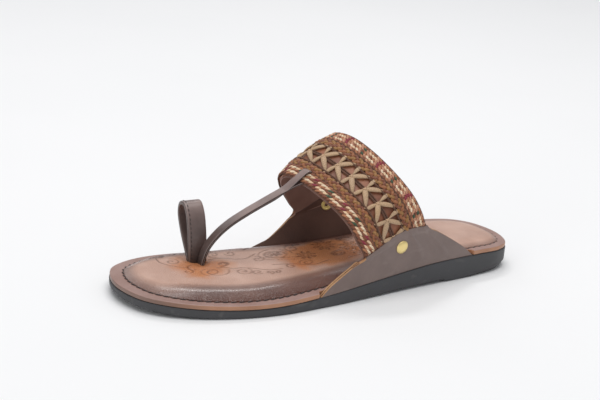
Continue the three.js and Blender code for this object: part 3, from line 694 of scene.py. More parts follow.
def strands(name, centres, outs, widths, heights, sides=8, tints=None, squareness=1.0):
    """Tubes joined as one mesh. centres and outs are (tube, step, xyz), widths and heights are half-sizes."""
    centres, outs = np.asarray(centres, float), np.asarray(outs, float)
    tubes, steps = centres.shape[:2]
    across, up = frames(centres, outs)
    angle = 2 * np.pi * np.arange(sides) / sides + np.pi / sides
    flat_cos = np.sign(np.cos(angle)) * np.abs(np.cos(angle)) ** squareness
    flat_sin = np.sign(np.sin(angle)) * np.abs(np.sin(angle)) ** squareness
    wide = np.broadcast_to(widths, (tubes, steps))[:, :, None, None]
    high = np.broadcast_to(heights, (tubes, steps))[:, :, None, None]
    points = (
        centres[:, :, None]
        + across[:, :, None] * flat_cos[None, None, :, None] * wide
        + up[:, :, None] * flat_sin[None, None, :, None] * high
    )
    start = (np.arange(tubes) * steps * sides)[:, None, None]
    i, j = np.arange(steps - 1)[:, None] * sides, np.arange(sides)[None]
    after = (j + 1) % sides
    quads = np.stack(
        [start + i + j, start + i + after, start + i + sides + after, start + i + sides + j], -1
    ).reshape(-1, 4)
    first = start[:, 0]
    ends = np.stack([first + np.arange(sides)[::-1], first + (steps - 1) * sides + np.arange(sides)], 1)
    mesh = bpy.data.meshes.new(name)
    faces = quads.tolist() + ends.reshape(-1, sides).tolist()
    mesh.from_pydata((points * MM).reshape(-1, 3).tolist(), [], faces)
    length = np.concatenate(
        [np.zeros((tubes, 1)), np.linalg.norm(np.diff(centres, axis=1), axis=-1).cumsum(1)], 1
    )
    u = np.stack([length[:, :-1], length[:, :-1], length[:, 1:], length[:, 1:]], -1)[:, :, None]
    u = np.broadcast_to(u, (tubes, steps - 1, sides, 4))
    v = np.broadcast_to(np.stack([j[0], j[0] + 1, j[0] + 1, j[0]], -1) / sides, u.shape)
    uv = np.zeros((len(mesh.loops), 2))
    uv[: u.size] = np.stack([u.ravel(), v.ravel()], -1)
    mesh.uv_layers.new(name="UVMap").data.foreach_set("uv", uv.ravel())
    piece = bpy.data.objects.new(name, mesh)
    scene.collection.objects.link(piece)
    if tints is not None:
        layer = mesh.color_attributes.new("dye", "FLOAT_COLOR", "POINT")
        layer.data.foreach_set("color", np.repeat(np.asarray(tints, float), steps * sides, axis=0).ravel())
    edit(piece, lambda: bpy.ops.mesh.normals_make_consistent(inside=False))
    bpy.ops.object.shade_smooth_by_angle(angle=math.radians(70))
    return piece


# Spun thread that stitches, cords and braids share: plies that wind round the strand, and loose fibres.
yarn, given, gives = group(
    "yarn", [("Winds Per Millimetre", 0.9), ("Plies", 3)], [("Height", "Float"), ("Shade", "Float")]
)
wound = node(yarn, "SeparateXYZ", {"Vector": node(yarn, "UVMap", uv_map="UVMap").outputs["UV"]}).outputs
rising = reckon(yarn, "MULTIPLY", wound["X"], given["Winds Per Millimetre"])
phase = reckon(yarn, "MULTIPLY_ADD", wound["Y"], given["Plies"], rising)
lobe = reckon(yarn, "ABSOLUTE", reckon(yarn, "SINE", reckon(yarn, "MULTIPLY", phase, math.pi)))
place = place_on(yarn)
fibres = noise(yarn, place, 2600.0, 3.0)
yarn.links.new(blend(yarn, 0.35, lobe, fibres), gives["Height"])
# Shade is painted shade, dark in the grooves between the plies and light on their crowns, mixed half and half with
# slubs, the yarn's real thicker and thinner stretches.
slub = noise(yarn, place, 420.0, 3.0)
yarn.links.new(blend(yarn, 0.5, curve(yarn, lobe, [(0, 0), (0.6, 1)]), slub), gives["Shade"])


def thread_finish(name, dark, light, winds=0.9, plies=3.0, roughness=0.7, dyed=False):
    """A yarn material between two colours, or between the dye stored on each strand and a darker copy of it. The
    darker colour is painted shade in the grooves between the plies.
    """
    made, tree, shader = material(name, roughness, Sheen_Weight=0.15)
    spun = use(tree, yarn, Winds_Per_Millimetre=winds, Plies=plies)
    light = node(tree, "VertexColor", layer_name="dye").outputs["Color"] if dyed else light
    # The dye's darker copy is painted shade for the grooves between the plies.
    dark = blend(tree, 1.0, light, (0.42, 0.34, 0.28, 1), "MULTIPLY") if dyed else dark
    feed(tree, shader, blend(tree, spun["Shade"], dark, light), spun["Height"], 0.0002)
    return made


def stitch_row(name, path, ways, outs, slant, sink, length, thread):
    """Stitches centred on path points, running along ways, their ends sunk into the leather."""
    t = np.linspace(-1, 1, 7)
    across = np.cross(outs, ways)
    reach = ways + across * slant
    centres = path[:, None] + reach[:, None] * (t * length / 2)[None, :, None]
    centres = centres + outs[:, None] * (-sink * np.abs(t) ** 2.5)[None, :, None]
    return strands(name, centres, np.broadcast_to(outs[:, None], centres.shape), thread, thread * 0.8, 6)


def on_ring(number):
    """Places on the pad's ring, counted in stitches."""
    return np.stack([np.interp(number * STITCH_PITCH, ring_length, pad_ring[:, k]) for k in (0, 1)], -1)


count = int(ring_length[-1] / STITCH_PITCH)
sewn = on_ring(np.arange(count) + 0.5)
ways = unit(on_ring(np.arange(count) + 0.7) - sewn)
outward = np.stack([-ways[:, 1], ways[:, 0]], -1)
outward *= np.sign((outward * sewn).sum(1, keepdims=True))
sewn = sewn + outward * 0.35
drawn_down = 0.42 * smoothstep(-sewn[:, 0], 84, 98)
path = np.column_stack([sewn, board_top(sewn[:, 0]) + 0.25 - drawn_down])
ways, outs = np.column_stack([ways, 0 * sewn[:, 0]]), np.tile([0.0, 0.0, 1.0], (count, 1))
waxed_thread = thread_finish("waxed_thread", colour(28, 18, 17), colour(62, 42, 38), roughness=0.5)
stitches = stitch_row("perimeter_stitches", path, ways, outs, 0.3, 0.55, 3.2, 0.5)
belongs(stitches, waxed_thread, "footbed_leather", "footbed")

# ------------------------------------------------------------------------------------------------ instep band
# The band's foundation: a cognac leather backing that the trimmings are sewn to and a brown lining behind
# it, both bent over the last and caught at each end between a wing's two leathers.
BAND_WIDTH, BAND_CROWN, BAND_SLOPE, INSTEP_HEIGHT = 44.5, 2.7, math.radians(33), 75
BAND_ROWS = np.array([  # y, y at the rear, drop, drop at the rear, shift towards the toe
    (42.0, 38.0, 44.0, 56.0, -1.2), (39.5, 37.2, 34.5, 47.0, -2.6), (36.0, 33.4, 25.5, 38.3, -4.2),
    (30.0, 27.6, 18.0, 29.4, -4.6), (20.0, 18.8, 10.8, 18.8, -4.0), (8.0, 8.3, 4.6, 9.2, -2.8),
    (-4.0, -3.0, -0.4, 2.0, -0.8), (-13.0, -12.0, -2.8, -0.5, 1.6), (-21.0, -20.0, 1.6, 0.8, 3.6),
    (-27.5, -26.0, 10.8, 9.5, 4.2), (-32.5, -30.2, 20.5, 21.0, 3.4), (-36.0, -32.2, 30.0, 35.0, 2.4),
    (-38.0, -33.0, 38.5, 50.0, 1.8),
])
WING_EASES = {1: (1.2, 1.18), -1: (0.6, 1.18)}
WING_LEVELS = (0, 0.25, 0.5, 0.75)
WING_SHARE = 0.2
OVER_STEPS, BACK_STEPS = 440, 44


def on_instep(ahead, y, lift):
    """A place given along the instep's slope, across it and square to it."""
    c, s = math.cos(BAND_SLOPE), math.sin(BAND_SLOPE)
    ahead, y, lift = np.broadcast_arrays(ahead, y, lift)
    return np.stack([ahead * c + lift * s, y * 1.0, INSTEP_HEIGHT - ahead * s + lift * c], -1)


backs = np.linspace(0, 1, BACK_STEPS + 1)
band_lines = [
    on_instep(
        shift + BAND_WIDTH * (0.5 - backs),
        y + (rear_y - y) * backs,
        -(drop + (rear_drop - drop) * backs),
    )
    for y, rear_y, drop, rear_drop, shift in BAND_ROWS
]


def wing_lines(side, foot):
    """The wing's levels from the sole's edge up to the band's foot, one point for each step back."""
    front, rear = WING_SPANS[side]
    shares = np.linspace(0.02, 0.98, 1500)
    rim = edge(side, shares, 0 * shares + 0.6)
    x = front + (rear - front) * backs
    base = np.stack([x, np.interp(x, rim[:, 0], rim[:, 1]), sole_top(x) + 0.3], -1)
    ease = WING_EASES[side][0] + (WING_EASES[side][1] - WING_EASES[side][0]) * backs
    lines = []
    for up in WING_LEVELS:
        line = base + (foot - base) * up
        line[:, 0] = base[:, 0] + (foot[:, 0] - base[:, 0]) * up**ease
        lines.append(line)
    return lines


controls = np.array([*wing_lines(1, band_lines[0]), *band_lines, *wing_lines(-1, band_lines[-1])[::-1]])
over = np.linspace(0, 1, OVER_STEPS + 1)
arch_face = smooth_line(controls, over)[0]
arch_out = unit(np.cross(np.gradient(arch_face, axis=1), np.gradient(arch_face, axis=0)))
on_band = smoothstep(np.minimum(over, 1 - over), WING_SHARE, WING_SHARE + 0.12)
crown = 4 * BAND_CROWN * on_band[:, None] * (backs * (1 - backs))[None]
arch_face = arch_face + arch_out * crown[..., None]
run_over = lengths_along(arch_face[:, BACK_STEPS // 2])
band_start = np.interp(WING_SHARE, over, run_over)
BAND_LENGTH = np.interp(1 - WING_SHARE, over, run_over) - band_start


def arch(t, back, height):
    """A place on the upper, and the way out there. t runs over the foot from sole edge to sole edge, back
    from the band's front edge to its rear, and height outwards from the outer face."""
    t, back, height = np.broadcast_arrays(t, back, height)
    i, j = t * OVER_STEPS, back * BACK_STEPS
    i0 = np.clip(i.astype(int), 0, OVER_STEPS - 1)
    j0 = np.clip(j.astype(int), 0, BACK_STEPS - 1)
    fi, fj = (i - i0)[..., None], (j - j0)[..., None]

    def read(values):
        low = values[i0, j0] * (1 - fi) + values[i0 + 1, j0] * fi
        return low * (1 - fj) + (values[i0, j0 + 1] * (1 - fi) + values[i0 + 1, j0 + 1] * fi) * fj

    out = unit(read(arch_out))
    return read(arch_face) + out * height[..., None], out


def band(along, width, height):
    """A place on the band: along it from the outer wing, back from its front edge, out from its face."""
    t = np.interp(np.asarray(along) + band_start, run_over, over)
    return arch(t, np.asarray(width) / BAND_WIDTH, height)


TUCK = 6.0  # how far the band's parts run on under the wings


def thicken(sheet, faces_in, thickness, arris, smooth, rim_slot=0, arris_slot=-1):
    """Thickens a sheet inwards and rounds its arrises. faces_in says that it has to be flipped first, and
    the two slots choose the finish of its edges."""
    if faces_in:
        edit(sheet, lambda: bpy.ops.mesh.flip_normals())
    apply_modifier(
        sheet, "SOLIDIFY", thickness=thickness * MM, offset=-1, use_even_offset=True,
        material_offset_rim=rim_slot,
    )
    apply_modifier(
        sheet, "BEVEL", width=arris * MM, segments=2, limit_method="ANGLE", angle_limit=math.radians(50),
        material=arris_slot,
    )
    bpy.ops.object.select_all(action="DESELECT")
    sheet.select_set(True)
    bpy.ops.object.shade_smooth_by_angle(angle=math.radians(smooth))


def band_sheet(name, front, rear, height, thickness, tuck):
    """A leather as wide as from front to rear that runs under both wings by tuck."""

    def place(u, v):
        return band(-tuck + (BAND_LENGTH + 2 * tuck) * u, front + (rear - front) * v, 0 * u + height)[0]

    sheet = shaped_grid(name, 150, 44, place)
    face = sheet.data.polygons[len(sheet.data.polygons) // 2]
    thicken(sheet, face.normal.dot(face.center - Vector((0, 0, 0.01))) < 0, thickness, 0.22, 60)
    return sheet


def leather_finish(name, dark, light, roughness, grain=1200.0, scuffed=None, depth=0.00007, coat=0.12):
    """A dyed leather between two colours, with scuffs in a third where one is given."""
    made, tree, shader = material(name, roughness, Coat_Weight=coat, Coat_Roughness=0.35)
    hide = use(tree, leather, Grain_Scale=grain, Mottle_Scale=60.0)
    wear = use(tree, handling, Patch_Scale=30.0)
    base = blend(tree, hide["Mottle"], dark, light)
    if scuffed:
        base = blend(tree, reckon(tree, "MULTIPLY", wear["Scuffs"], 0.35), base, scuffed)
    gloss = curve(tree, wear["Patches"], [(0, roughness - 0.06), (1, roughness + 0.08)])
    feed(tree, shader, base, hide["Height"], depth, gloss)
    return made


backing_leather = leather_finish("band_backing_leather", colour(122, 72, 50), colour(166, 106, 74), 0.42)
lining_leather = leather_finish("lining_leather", colour(128, 96, 85), colour(148, 114, 102), 0.6, 900.0)
backing = band_sheet("band_backing", 0.5, 44.0, -1.3, 0.9, TUCK)
belongs(backing, backing_leather, "upper_leather", "upper")
band_lining = band_sheet("band_lining", 0.0, 44.5, -2.25, 0.75, 3.0)
belongs(band_lining, lining_leather, "upper_leather", "upper")

# ------------------------------------------------------------------------------------------------ braids and cords
# Trimmings sewn side by side over the backing: a flat seven-strand plait of cream, tan, crimson and green
# along each edge, a copper plait inside each of those, and dark two-ply pipings between them. All dive
# under the wings.
CREAM, SAND, TAWNY = colour(250, 216, 178), colour(190, 128, 88), colour(146, 88, 58)
CRIMSON, GREEN = colour(150, 44, 62), colour(56, 84, 58)
COPPER, BRASSY, RUST = colour(166, 104, 62), colour(168, 120, 64), colour(136, 78, 50)


def pressed(along):
    """1 on the open band, falling to 0 where the wings press the trimmings flat."""
    return smoothstep(along, -1.5, 4.5) * smoothstep(BAND_LENGTH - along, -1.5, 4.5)


def plait(name, front, rear, period, colours, half_width, half_height, lift, step=0.55, sides=8, lean=1):
    """A flat plait: each strand zigzags across the width, over one strand and under the next."""
    n = len(colours)
    along = np.arange(-TUCK, BAND_LENGTH + TUCK, step)[None].repeat(n, 0)
    phase = 2 * np.pi * (along / period * lean + np.arange(n)[:, None] / n)
    swing = (rear - front) / 2 - half_width * 0.75
    sideways = swing * np.arcsin(0.985 * np.sin(phase)) / np.arcsin(0.985)
    turn = phase - np.pi / 2
    weave = -np.cos(n * turn) * np.clip(1.5 * n / np.pi * np.sin(turn), -1, 1)
    flat = pressed(along)
    hand = 0.12 * np.sin(along / 3.1 + 5 * np.arange(n)[:, None]) * np.sin(along / 7.7)
    height = lift + 0.42 * half_height * 2 * weave * (0.25 + 0.75 * flat) - (1 - flat) * (lift + 0.75)
    centres, outs = band(along, (front + rear) / 2 + sideways + hand, height)
    return strands(name, centres, outs, half_width, half_height * (0.4 + 0.6 * flat), sides, colours)


def twist(centre, radius, pitch, lift, plies=2, step=0.22):
    """Two plies wound round each other: their centre lines over the band."""
    along = np.arange(-TUCK, BAND_LENGTH + TUCK, step)[None].repeat(plies, 0)
    phase = 2 * np.pi * (along / pitch + np.arange(plies)[:, None] / plies)
    flat = pressed(along)
    ply = radius * 0.5
    height = lift + ply * np.sin(phase) * (0.4 + 0.6 * flat) - (1 - flat) * (lift + 0.6)
    centres, outs = band(along, centre + ply * np.cos(phase), height)
    return centres, outs


plait_yarn = thread_finish("plait_yarn", None, None, 0.8, 3.0, 0.62, dyed=True)
ground = (TAWNY, SAND, TAWNY, RUST, SAND, TAWNY, RUST)
front_braid = plait("front_braid", 0.8, 7.5, 27.0, ground, 0.86, 0.4, -0.35)
belongs(front_braid, plait_yarn, "upper_leather", "upper")
rear_braid = plait("rear_braid", 35.2, 43.5, 29.0, ground, 1.02, 0.42, -0.3, lean=-1)
belongs(rear_braid, plait_yarn, "upper_leather", "upper")


def floats(name, columns, steps, length, lean, half_width):
    """Yarn that floats over a plait in rows of short slanting strokes. Each row has its place across, its
    shift along, its colours and its accents, and every group of strokes ends with one accent."""
    centres, outs, dyes = [], [], []
    t = np.linspace(-1, 1, 7)
    for width, shift, main, accents in columns:
        for k in range(int((BAND_LENGTH + TUCK) / FLOAT_GROUP * steps)):
            along = (k + shift) * FLOAT_GROUP / steps + rng.normal(0, 0.1)
            line = along - t * length / 2 * math.cos(lean)
            flat = pressed(line)
            lift = (0.28 + 0.14 * (k % 2) - 0.55 * np.abs(t) ** 2.6) * flat - (1 - flat) * 0.8
            centre, out = band(line, width + t * length / 2 * math.sin(lean) + rng.normal(0, 0.06), lift)
            centres.append(centre)
            outs.append(out)
            last = k % steps == steps - 1
            dyes.append(accents[k // steps % len(accents)] if last else main[k % steps % len(main)])
    swell = half_width * (1 - 0.35 * np.abs(t) ** 3)
    return strands(name, centres, outs, swell[None], 0.42 * swell[None] / half_width, 8, dyes)


rng = np.random.default_rng(5)
FLOAT_GROUP = 12.4  # millimetres along the band
BLUSH, PALE = colour(214, 158, 128), colour(255, 234, 204)
front_rows = [
    (1.3, 0.4, (TAWNY, SAND, RUST), (RUST,)),
    (2.75, 0.0, (CREAM, PALE, CREAM), (CRIMSON, GREEN)),
    (4.3, 0.6, (TAWNY, SAND, TAWNY), (RUST,)),
    (5.95, 0.5, (CREAM, PALE, CREAM), (CRIMSON, GREEN)),
    (7.1, 0.2, (SAND, TAWNY, TAWNY), (TAWNY,)),
]
front_floats = floats("front_braid_floats", front_rows, 4, 4.4, math.radians(24), 0.8)
belongs(front_floats, plait_yarn, "upper_leather", "upper")
rear_rows = [
    (36.2, 0.3, (SAND, TAWNY, BLUSH, TAWNY, SAND), (TAWNY, RUST)),
    (37.9, 0.0, (BLUSH, PALE, CREAM, PALE, BLUSH), (GREEN, CRIMSON)),
    (39.6, 0.5, (BLUSH, SAND, TAWNY, BLUSH, SAND), (RUST, CRIMSON)),
    (41.3, 0.4, (BLUSH, CREAM, PALE, CREAM, BLUSH), (GREEN, CRIMSON)),
    (42.9, 0.1, (SAND, BLUSH, TAWNY, SAND, BLUSH), (TAWNY, CRIMSON)),
]
rear_floats = floats("rear_braid_floats", rear_rows, 6, 3.0, math.radians(-26), 0.74)
belongs(rear_floats, plait_yarn, "upper_leather", "upper")
copper_yarn = thread_finish("copper_yarn", None, None, 0.7, 5.0, 0.5, dyed=True)
for name, front, rear, lean in (("front_copper_plait", 8.0, 12.9, 1), ("rear_copper_plait", 29.2, 34.9, -1)):
    copper = plait(name, front, rear, 11.0, (COPPER, BRASSY, RUST), 1.05, 0.56, 0.05, 0.35, lean=lean)
    belongs(copper, copper_yarn, "upper_leather", "upper")
dark_yarn = thread_finish("dark_yarn", colour(34, 22, 18), colour(126, 84, 60), 1.6, 2.0)
for name, lift, rows in (  # rows are back from the band's front edge, and width
    ("inner_pipings", 0.05, ((7.9, 1.2), (13.6, 1.25), (28.4, 1.25), (35.0, 1.2))),
    ("edge_pipings", -0.2, ((0.35, 0.95), (43.95, 1.0))),
    ("star_cord", -0.6, ((20.6, 1.3), (22.0, 1.0))),
):
    cords = [twist(centre, width / 2, 2.1, lift) for centre, width in rows]
    centres, outs = (np.concatenate(parts) for parts in zip(*cords))
    ply = np.repeat([width * 0.3 for _, width in rows], 2)[:, None]
    piping = strands(name, centres, outs, ply, ply, 6)
    belongs(piping, dark_yarn, "upper_leather", "upper")

# ------------------------------------------------------------------------------------------------ raffia stars
# Along the band's middle, star after star of four folded raffia petals, each narrow where it is tied at the
# star's knot and wide at its rounded end.
STAR_PITCH, STAR_LINE, STAR_START = 11.5, 21.4, 3.9
PETALS = (  # along and back to the petal's end, half-width, where it is widest
    (2.4, 8.8, 1.35, 0.74), (-6.4, 8.8, 1.5, 0.34), (-9.9, -7.4, 1.85, 0.22), (0.4, -8.1, 1.25, 0.6),
)
PETAL_STEPS = 11
rng = np.random.default_rng(7)
centres, outs, widths, heights = [], [], [], []
s = np.linspace(0, 1, PETAL_STEPS)
for k in range(-1, int(BAND_LENGTH / STAR_PITCH) + 2):
    for to_along, to_back, half, widest in PETALS:
        to_along, to_back = to_along + rng.normal(0, 0.35), to_back + rng.normal(0, 0.2)
        bow = 0.5 * np.sin(np.pi * s) * rng.normal(0, 0.5)
        reach = 0.08 + 0.92 * s
        along = STAR_START + STAR_PITCH * k + to_along * reach - bow * np.sign(to_back) * 0.7
        width = STAR_LINE + to_back * reach + bow * 0.3
        if along.min() < -TUCK or along.max() > BAND_LENGTH + TUCK:
            continue
        flat = pressed(along)
        height = (-0.35 + 0.5 * np.sin(np.pi * s**0.9)) * flat - (1 - flat) * 0.9
        centre, out = band(along, width, height)
        centres.append(centre)
        outs.append(out)
        swelling = np.clip(0.07 + 0.88 * s, 0, 1) ** (math.log(0.5) / math.log(widest))
        full = np.clip(np.sin(np.pi * swelling), 0, 1) ** 0.55
        widths.append(half * (0.16 + 0.84 * full))
        heights.append((0.2 + 0.5 * full) * (0.4 + 0.6 * flat))
petals_mesh = strands("raffia_petals", centres, outs, np.array(widths), np.array(heights), 8, squareness=0.9)
raffia, tree, shader = material("raffia", 0.5, Sheen_Weight=0.1)
uv = node(tree, "UVMap", uv_map="UVMap").outputs["UV"]
streak = node(tree, "Mapping", {"Vector": uv, "Scale": (0.5, 9, 1)}).outputs["Vector"]
fibre = noise(tree, streak, 3.0, 4.0)
batch = noise(tree, place_on(tree), 90.0, 2.0)
base = blend(tree, curve(tree, fibre, [(0.3, 0), (0.7, 1)]), colour(152, 120, 92), colour(208, 177, 141))
base = blend(tree, curve(tree, batch, [(0.45, 0), (0.7, 0.6)]), base, colour(196, 160, 116))
feed(tree, shader, base, fibre, 0.0003)
belongs(petals_mesh, raffia, "upper_leather", "upper")

knots, ways = [], []
TIES = (  # along and back from the star's knot, along and back of the tie's half-length, lift
    (0, 0, 0.8, 0.8, 0.3), (0, 0, 0.8, -0.7, 0.3), (3.5, 9.3, 0.9, 0.5, 0.1), (1.0, -8.4, 0.7, -0.6, 0.1),
)
for k in range(int(BAND_LENGTH / STAR_PITCH) + 1):
    for to_along, to_back, run_along, run_back, lift in TIES:
        t = np.linspace(-1, 1, 7)
        at = STAR_START + STAR_PITCH * k + to_along
        if not -TUCK < at < BAND_LENGTH + TUCK - 1:
            continue
        flat = pressed(at + t * run_along)
        lift = (lift - 0.55 * np.abs(t) ** 2) * flat - (1 - flat) * 0.9
        centre, out = band(at + t * run_along, STAR_LINE + to_back + run_back * t, lift)
        knots.append(centre)
        ways.append(out)
knot_ties = strands("star_knots", knots, ways, 0.42, 0.36, 6)
tie_yarn = thread_finish("tie_yarn", colour(150, 112, 84), colour(226, 190, 152), 1.4, 2.0)
belongs(knot_ties, tie_yarn, "upper_leather", "upper")

# ------------------------------------------------------------------------------------------------ wings
# Each wing is an outer and a lining leather with raw tan edges, lasted under the board and closed over the
# band's end in a low dome. The leather is smooth taupe, softly creased towards its rear.
BORDER = {  # how far each wing's top stands over the band's foot: places back, and shares of the arch
    1: ((0, 0.2, 0.5, 0.69, 0.85, 1), (0.007, 0.021, 0.040, 0.041, 0.026, 0.004)),
    -1: ((0, 0.25, 0.5, 0.75, 1), (0.004, 0.024, 0.038, 0.030, 0.004)),
}
CREASES = (  # back, lean, depth, half-width of each soft fold
    (0.70, 0.10, 0.66, 0.024), (0.80, 0.14, -0.24, 0.022), (0.885, 0.10, 0.6, 0.022),
    (0.42, -0.12, -0.16, 0.035), (0.18, -0.2, 0.14, 0.03),
)


def wing_layer(name, side, height, thickness, raised, creased, finish):
    """One leather of a wing. raised lifts it over the band, and finish is its faces' and its cut edge's."""
    spots, dome = BORDER[side]
    dense = np.linspace(0, 1, 90)
    top = np.interp(dense, spots, dome)
    top = np.convolve(np.pad(top, 6, mode="edge"), np.hanning(13) / np.hanning(13).sum(), "valid")

    def place(u, v):
        border = WING_SHARE + 0.6 * np.interp(v, dense, top)
        t = -0.001 + (border + 0.001) * u**0.92
        left = (border - t) * run_over[-1]
        level = height + raised * (1 - smoothstep(left, 1.0, 6.5 if raised > 0 else 10))
        for back, lean, depth, half in CREASES if creased else ():
            fold = depth * np.exp(-(((v - back - lean * (u - 0.6)) / half) ** 2))
            level = level + fold * smoothstep(u, 0.05, 0.3) * smoothstep(1 - u, -0.1, 0.15)
        puff = 0.10 * np.sin(9 * u + 7 * v) * np.sin(11 * v - 3 * u)
        place.rise = u
        return arch(t if side > 0 else 1 - t, v, level + puff * creased)[0]

    panel = shaped_grid(name, 64, 110, place)
    mark(panel, rise=place.rise)
    for skin in finish:
        panel.data.materials.append(skin)
    face = panel.data.polygons[len(panel.data.polygons) // 2]
    thicken(panel, face.normal.y * side < 0, thickness, 0.2, 50, rim_slot=1, arris_slot=1)
    belongs(panel, None, "upper_leather", "upper")


wing_leather = leather_finish(
    "wing_leather", colour(112, 93, 87), colour(128, 109, 102), 0.44,
    grain=1500.0, scuffed=colour(140, 124, 118), depth=0.00004, coat=0.25,
)
inside_leather = leather_finish("inside_leather", colour(84, 56, 46), colour(102, 72, 60), 0.62, 900.0)
cut_edge, tree, shader = material("cut_edge", 0.7)
hide = use(tree, leather, Grain_Scale=2400.0, Mottle_Scale=90.0)
at_top = curve(tree, stored(tree, "rise"), [(0.97, 0), (0.995, 1)])
raw = blend(tree, hide["Mottle"], colour(168, 122, 84), colour(212, 166, 122))
dyed = blend(tree, hide["Mottle"], colour(84, 66, 60), colour(104, 86, 80))
feed(tree, shader, blend(tree, at_top, raw, dyed), hide["Height"], 0.0002)
for side, label in ((1, "outer"), (-1, "inner")):
    wing_layer(label + "_wing", side, 0.0, 1.25, 0.8, 1, (wing_leather, cut_edge))
    wing_layer(label + "_wing_lining", side, -1.62, 1.2, -0.45, 0, (inside_leather, cut_edge))

# ------------------------------------------------------------------------------------------------ toe strap
# A narrow strap of two leathers glued back to back. It rises from the slot, and at the band its lower
# leather goes on underneath while its upper leather folds over the front plait and is tucked in behind it.
STRAP_ROWS = (  # x, y, z, the way its width faces in degrees from the foot's length
    (72.6, -14.4, 9.0, 87), (72.6, -14.4, 13.0, 87), (70.6, -14.2, 20.4, 88), (68.0, -13.9, 25.0, 88),
    (63.0, -13.2, 31.0, 89), (56.5, -12.0, 36.8, 90), (47.1, -10.0, 43.2, 90), (38.9, -8.2, 48.2, 90),
    (31.0, -6.5, 52.9, 90),
)
UNDER_ROWS = ((24.5, -3.2, -2.2), (20.0, -2.6, -3.3), (14.5, -2.2, -3.6), (9.0, -2.0, -3.4))  # ahead, y, lift
OVER_ROWS = (
    (27.0, -3.8, 0.0), (23.5, -2.9, 1.0), (20.0, -2.3, 1.75), (15.5, -1.8, 2.35), (13.4, -1.6, 2.1),
    (12.2, -1.5, 0.9),
)
LAYER, TO_LAYER = 1.05, 0.55  # one leather's thickness, and from the strap's middle to the middle of each


def strap(name, points, turns, width, offset, steps, bulge=0.0):
    """One leather of a strap, swept along a smooth line, crowned by bulge and with rounded arrises."""
    t = np.linspace(0, 1, steps + 1)
    centre, run = smooth_line(points, t)
    run = unit(run)
    turn = np.radians(np.interp(t * (len(turns) - 1), range(len(turns)), turns))
    across = np.stack([np.cos(turn), np.sin(turn), 0 * turn], -1)
    across = unit(across - run * (across * run).sum(1, keepdims=True))
    up = np.cross(run, across)
    w, h, e = width / 2, LAYER / 2, LAYER * 0.42
    top = [(x * (w - e), h + bulge * (1 - x * x)) for x in np.linspace(-1, 1, 9)]
    half = [(-w, h - e), (-w + e * 0.3, h - e * 0.3), *top, (w - e * 0.3, h - e * 0.3), (w, h - e)]
    mirrored = [(x, -z) for x, z in half[::-1]]
    section = [mirrored[-1], *half, *mirrored[:-1]]
    # For the finish: 1 on a side, 0.5 where side and face meet, 0 on a face.
    rim = [1 if abs(abs(x) - w) < 1e-6 else 0.5 if abs(x) > w - e * 0.5 else 0 for x, _ in section]
    count = len(section)
    x, z = np.array(section).T

    def place(u, v):
        i, j = np.rint(u * steps).astype(int), np.rint(v * count).astype(int) % count
        return centre[i] + across[i] * x[j][:, None] + up[i] * (z[j] + offset)[:, None]

    made = shaped_grid(name, steps, count, place)
    # The grid's points run along u first, so the section's numbers repeat in rows.
    mark(made, rim=np.repeat(np.take(rim, np.arange(count + 1) % count), steps + 1))
    close_seams(made, 50)
    edit(
        made,
        lambda: bpy.ops.mesh.select_all(action="DESELECT"),
        lambda: bpy.ops.mesh.select_non_manifold(),
        lambda: bpy.ops.mesh.edge_face_add(),
    )
    return made


def strap_finish(name, root, worn, side_colour, arris):
    """Smooth leather, painted darker low down towards the slot as painted shade and paler high up as a painted
    highlight, with dark dyed sides and a pale line where face and side meet. root and worn are each a darkest and a
    lightest colour: root for the painted shade low down, worn for the painted highlight high up."""
    made, tree, shader = material(name, 0.4, Coat_Weight=0.7, Coat_Roughness=0.26)
    hide = use(tree, leather, Grain_Scale=1500.0, Mottle_Scale=80.0)
    wear = use(tree, handling, Patch_Scale=40.0)
    rim = stored(tree, "rim")
    height = node(tree, "SeparateXYZ", {0: place_on(tree)}).outputs["Z"]
    height = node(tree, "MapRange", {"Value": height, "From Min": 0.012, "From Max": 0.047}).outputs[0]
    # Painted light by height: painted shade low down by the slot, and a painted highlight high up on strap and ring.
    painted_light_by_height = curve(tree, height, [(0, 0), (0.3, 0.42), (0.7, 0.5), (0.95, 1)])
    base = blend(tree, painted_light_by_height, blend(tree, hide["Mottle"], *root), blend(tree, hide["Mottle"], *worn))
    base = blend(tree, curve(tree, rim, [(0.5, 0), (0.8, 1)]), base, side_colour)
    base = blend(tree, curve(tree, rim, [(0.25, 0), (0.5, 0.8), (0.75, 0)]), base, arris)
    feed(tree, shader, base, hide["Height"], 0.00005, curve(tree, wear["Patches"], [(0, 0.34), (1, 0.5)]))
    return made


# The first pair of colours is the painted shade low down by the slot, the second the painted highlight high up.
strap_leather = strap_finish(
    "strap_leather", (colour(46, 36, 34), colour(62, 50, 47)), (colour(114, 94, 89), colour(142, 120, 114)),
    colour(36, 26, 24), colour(168, 148, 142),
)
for name, rows, width, offset, steps, bulge in (
    ("toe_strap_under", UNDER_ROWS, 7.0, -TO_LAYER, 110, 0.0),
    ("toe_strap_over", OVER_ROWS, 6.8, TO_LAYER, 120, 0.12),
):
    points = [*(row[:3] for row in STRAP_ROWS), *(on_instep(*row) for row in rows)]
    turns = [*(row[3] for row in STRAP_ROWS), *(90 for _ in rows)]
    belongs(strap(name, points, turns, width, offset, steps, bulge), strap_leather, "upper_leather", "upper")

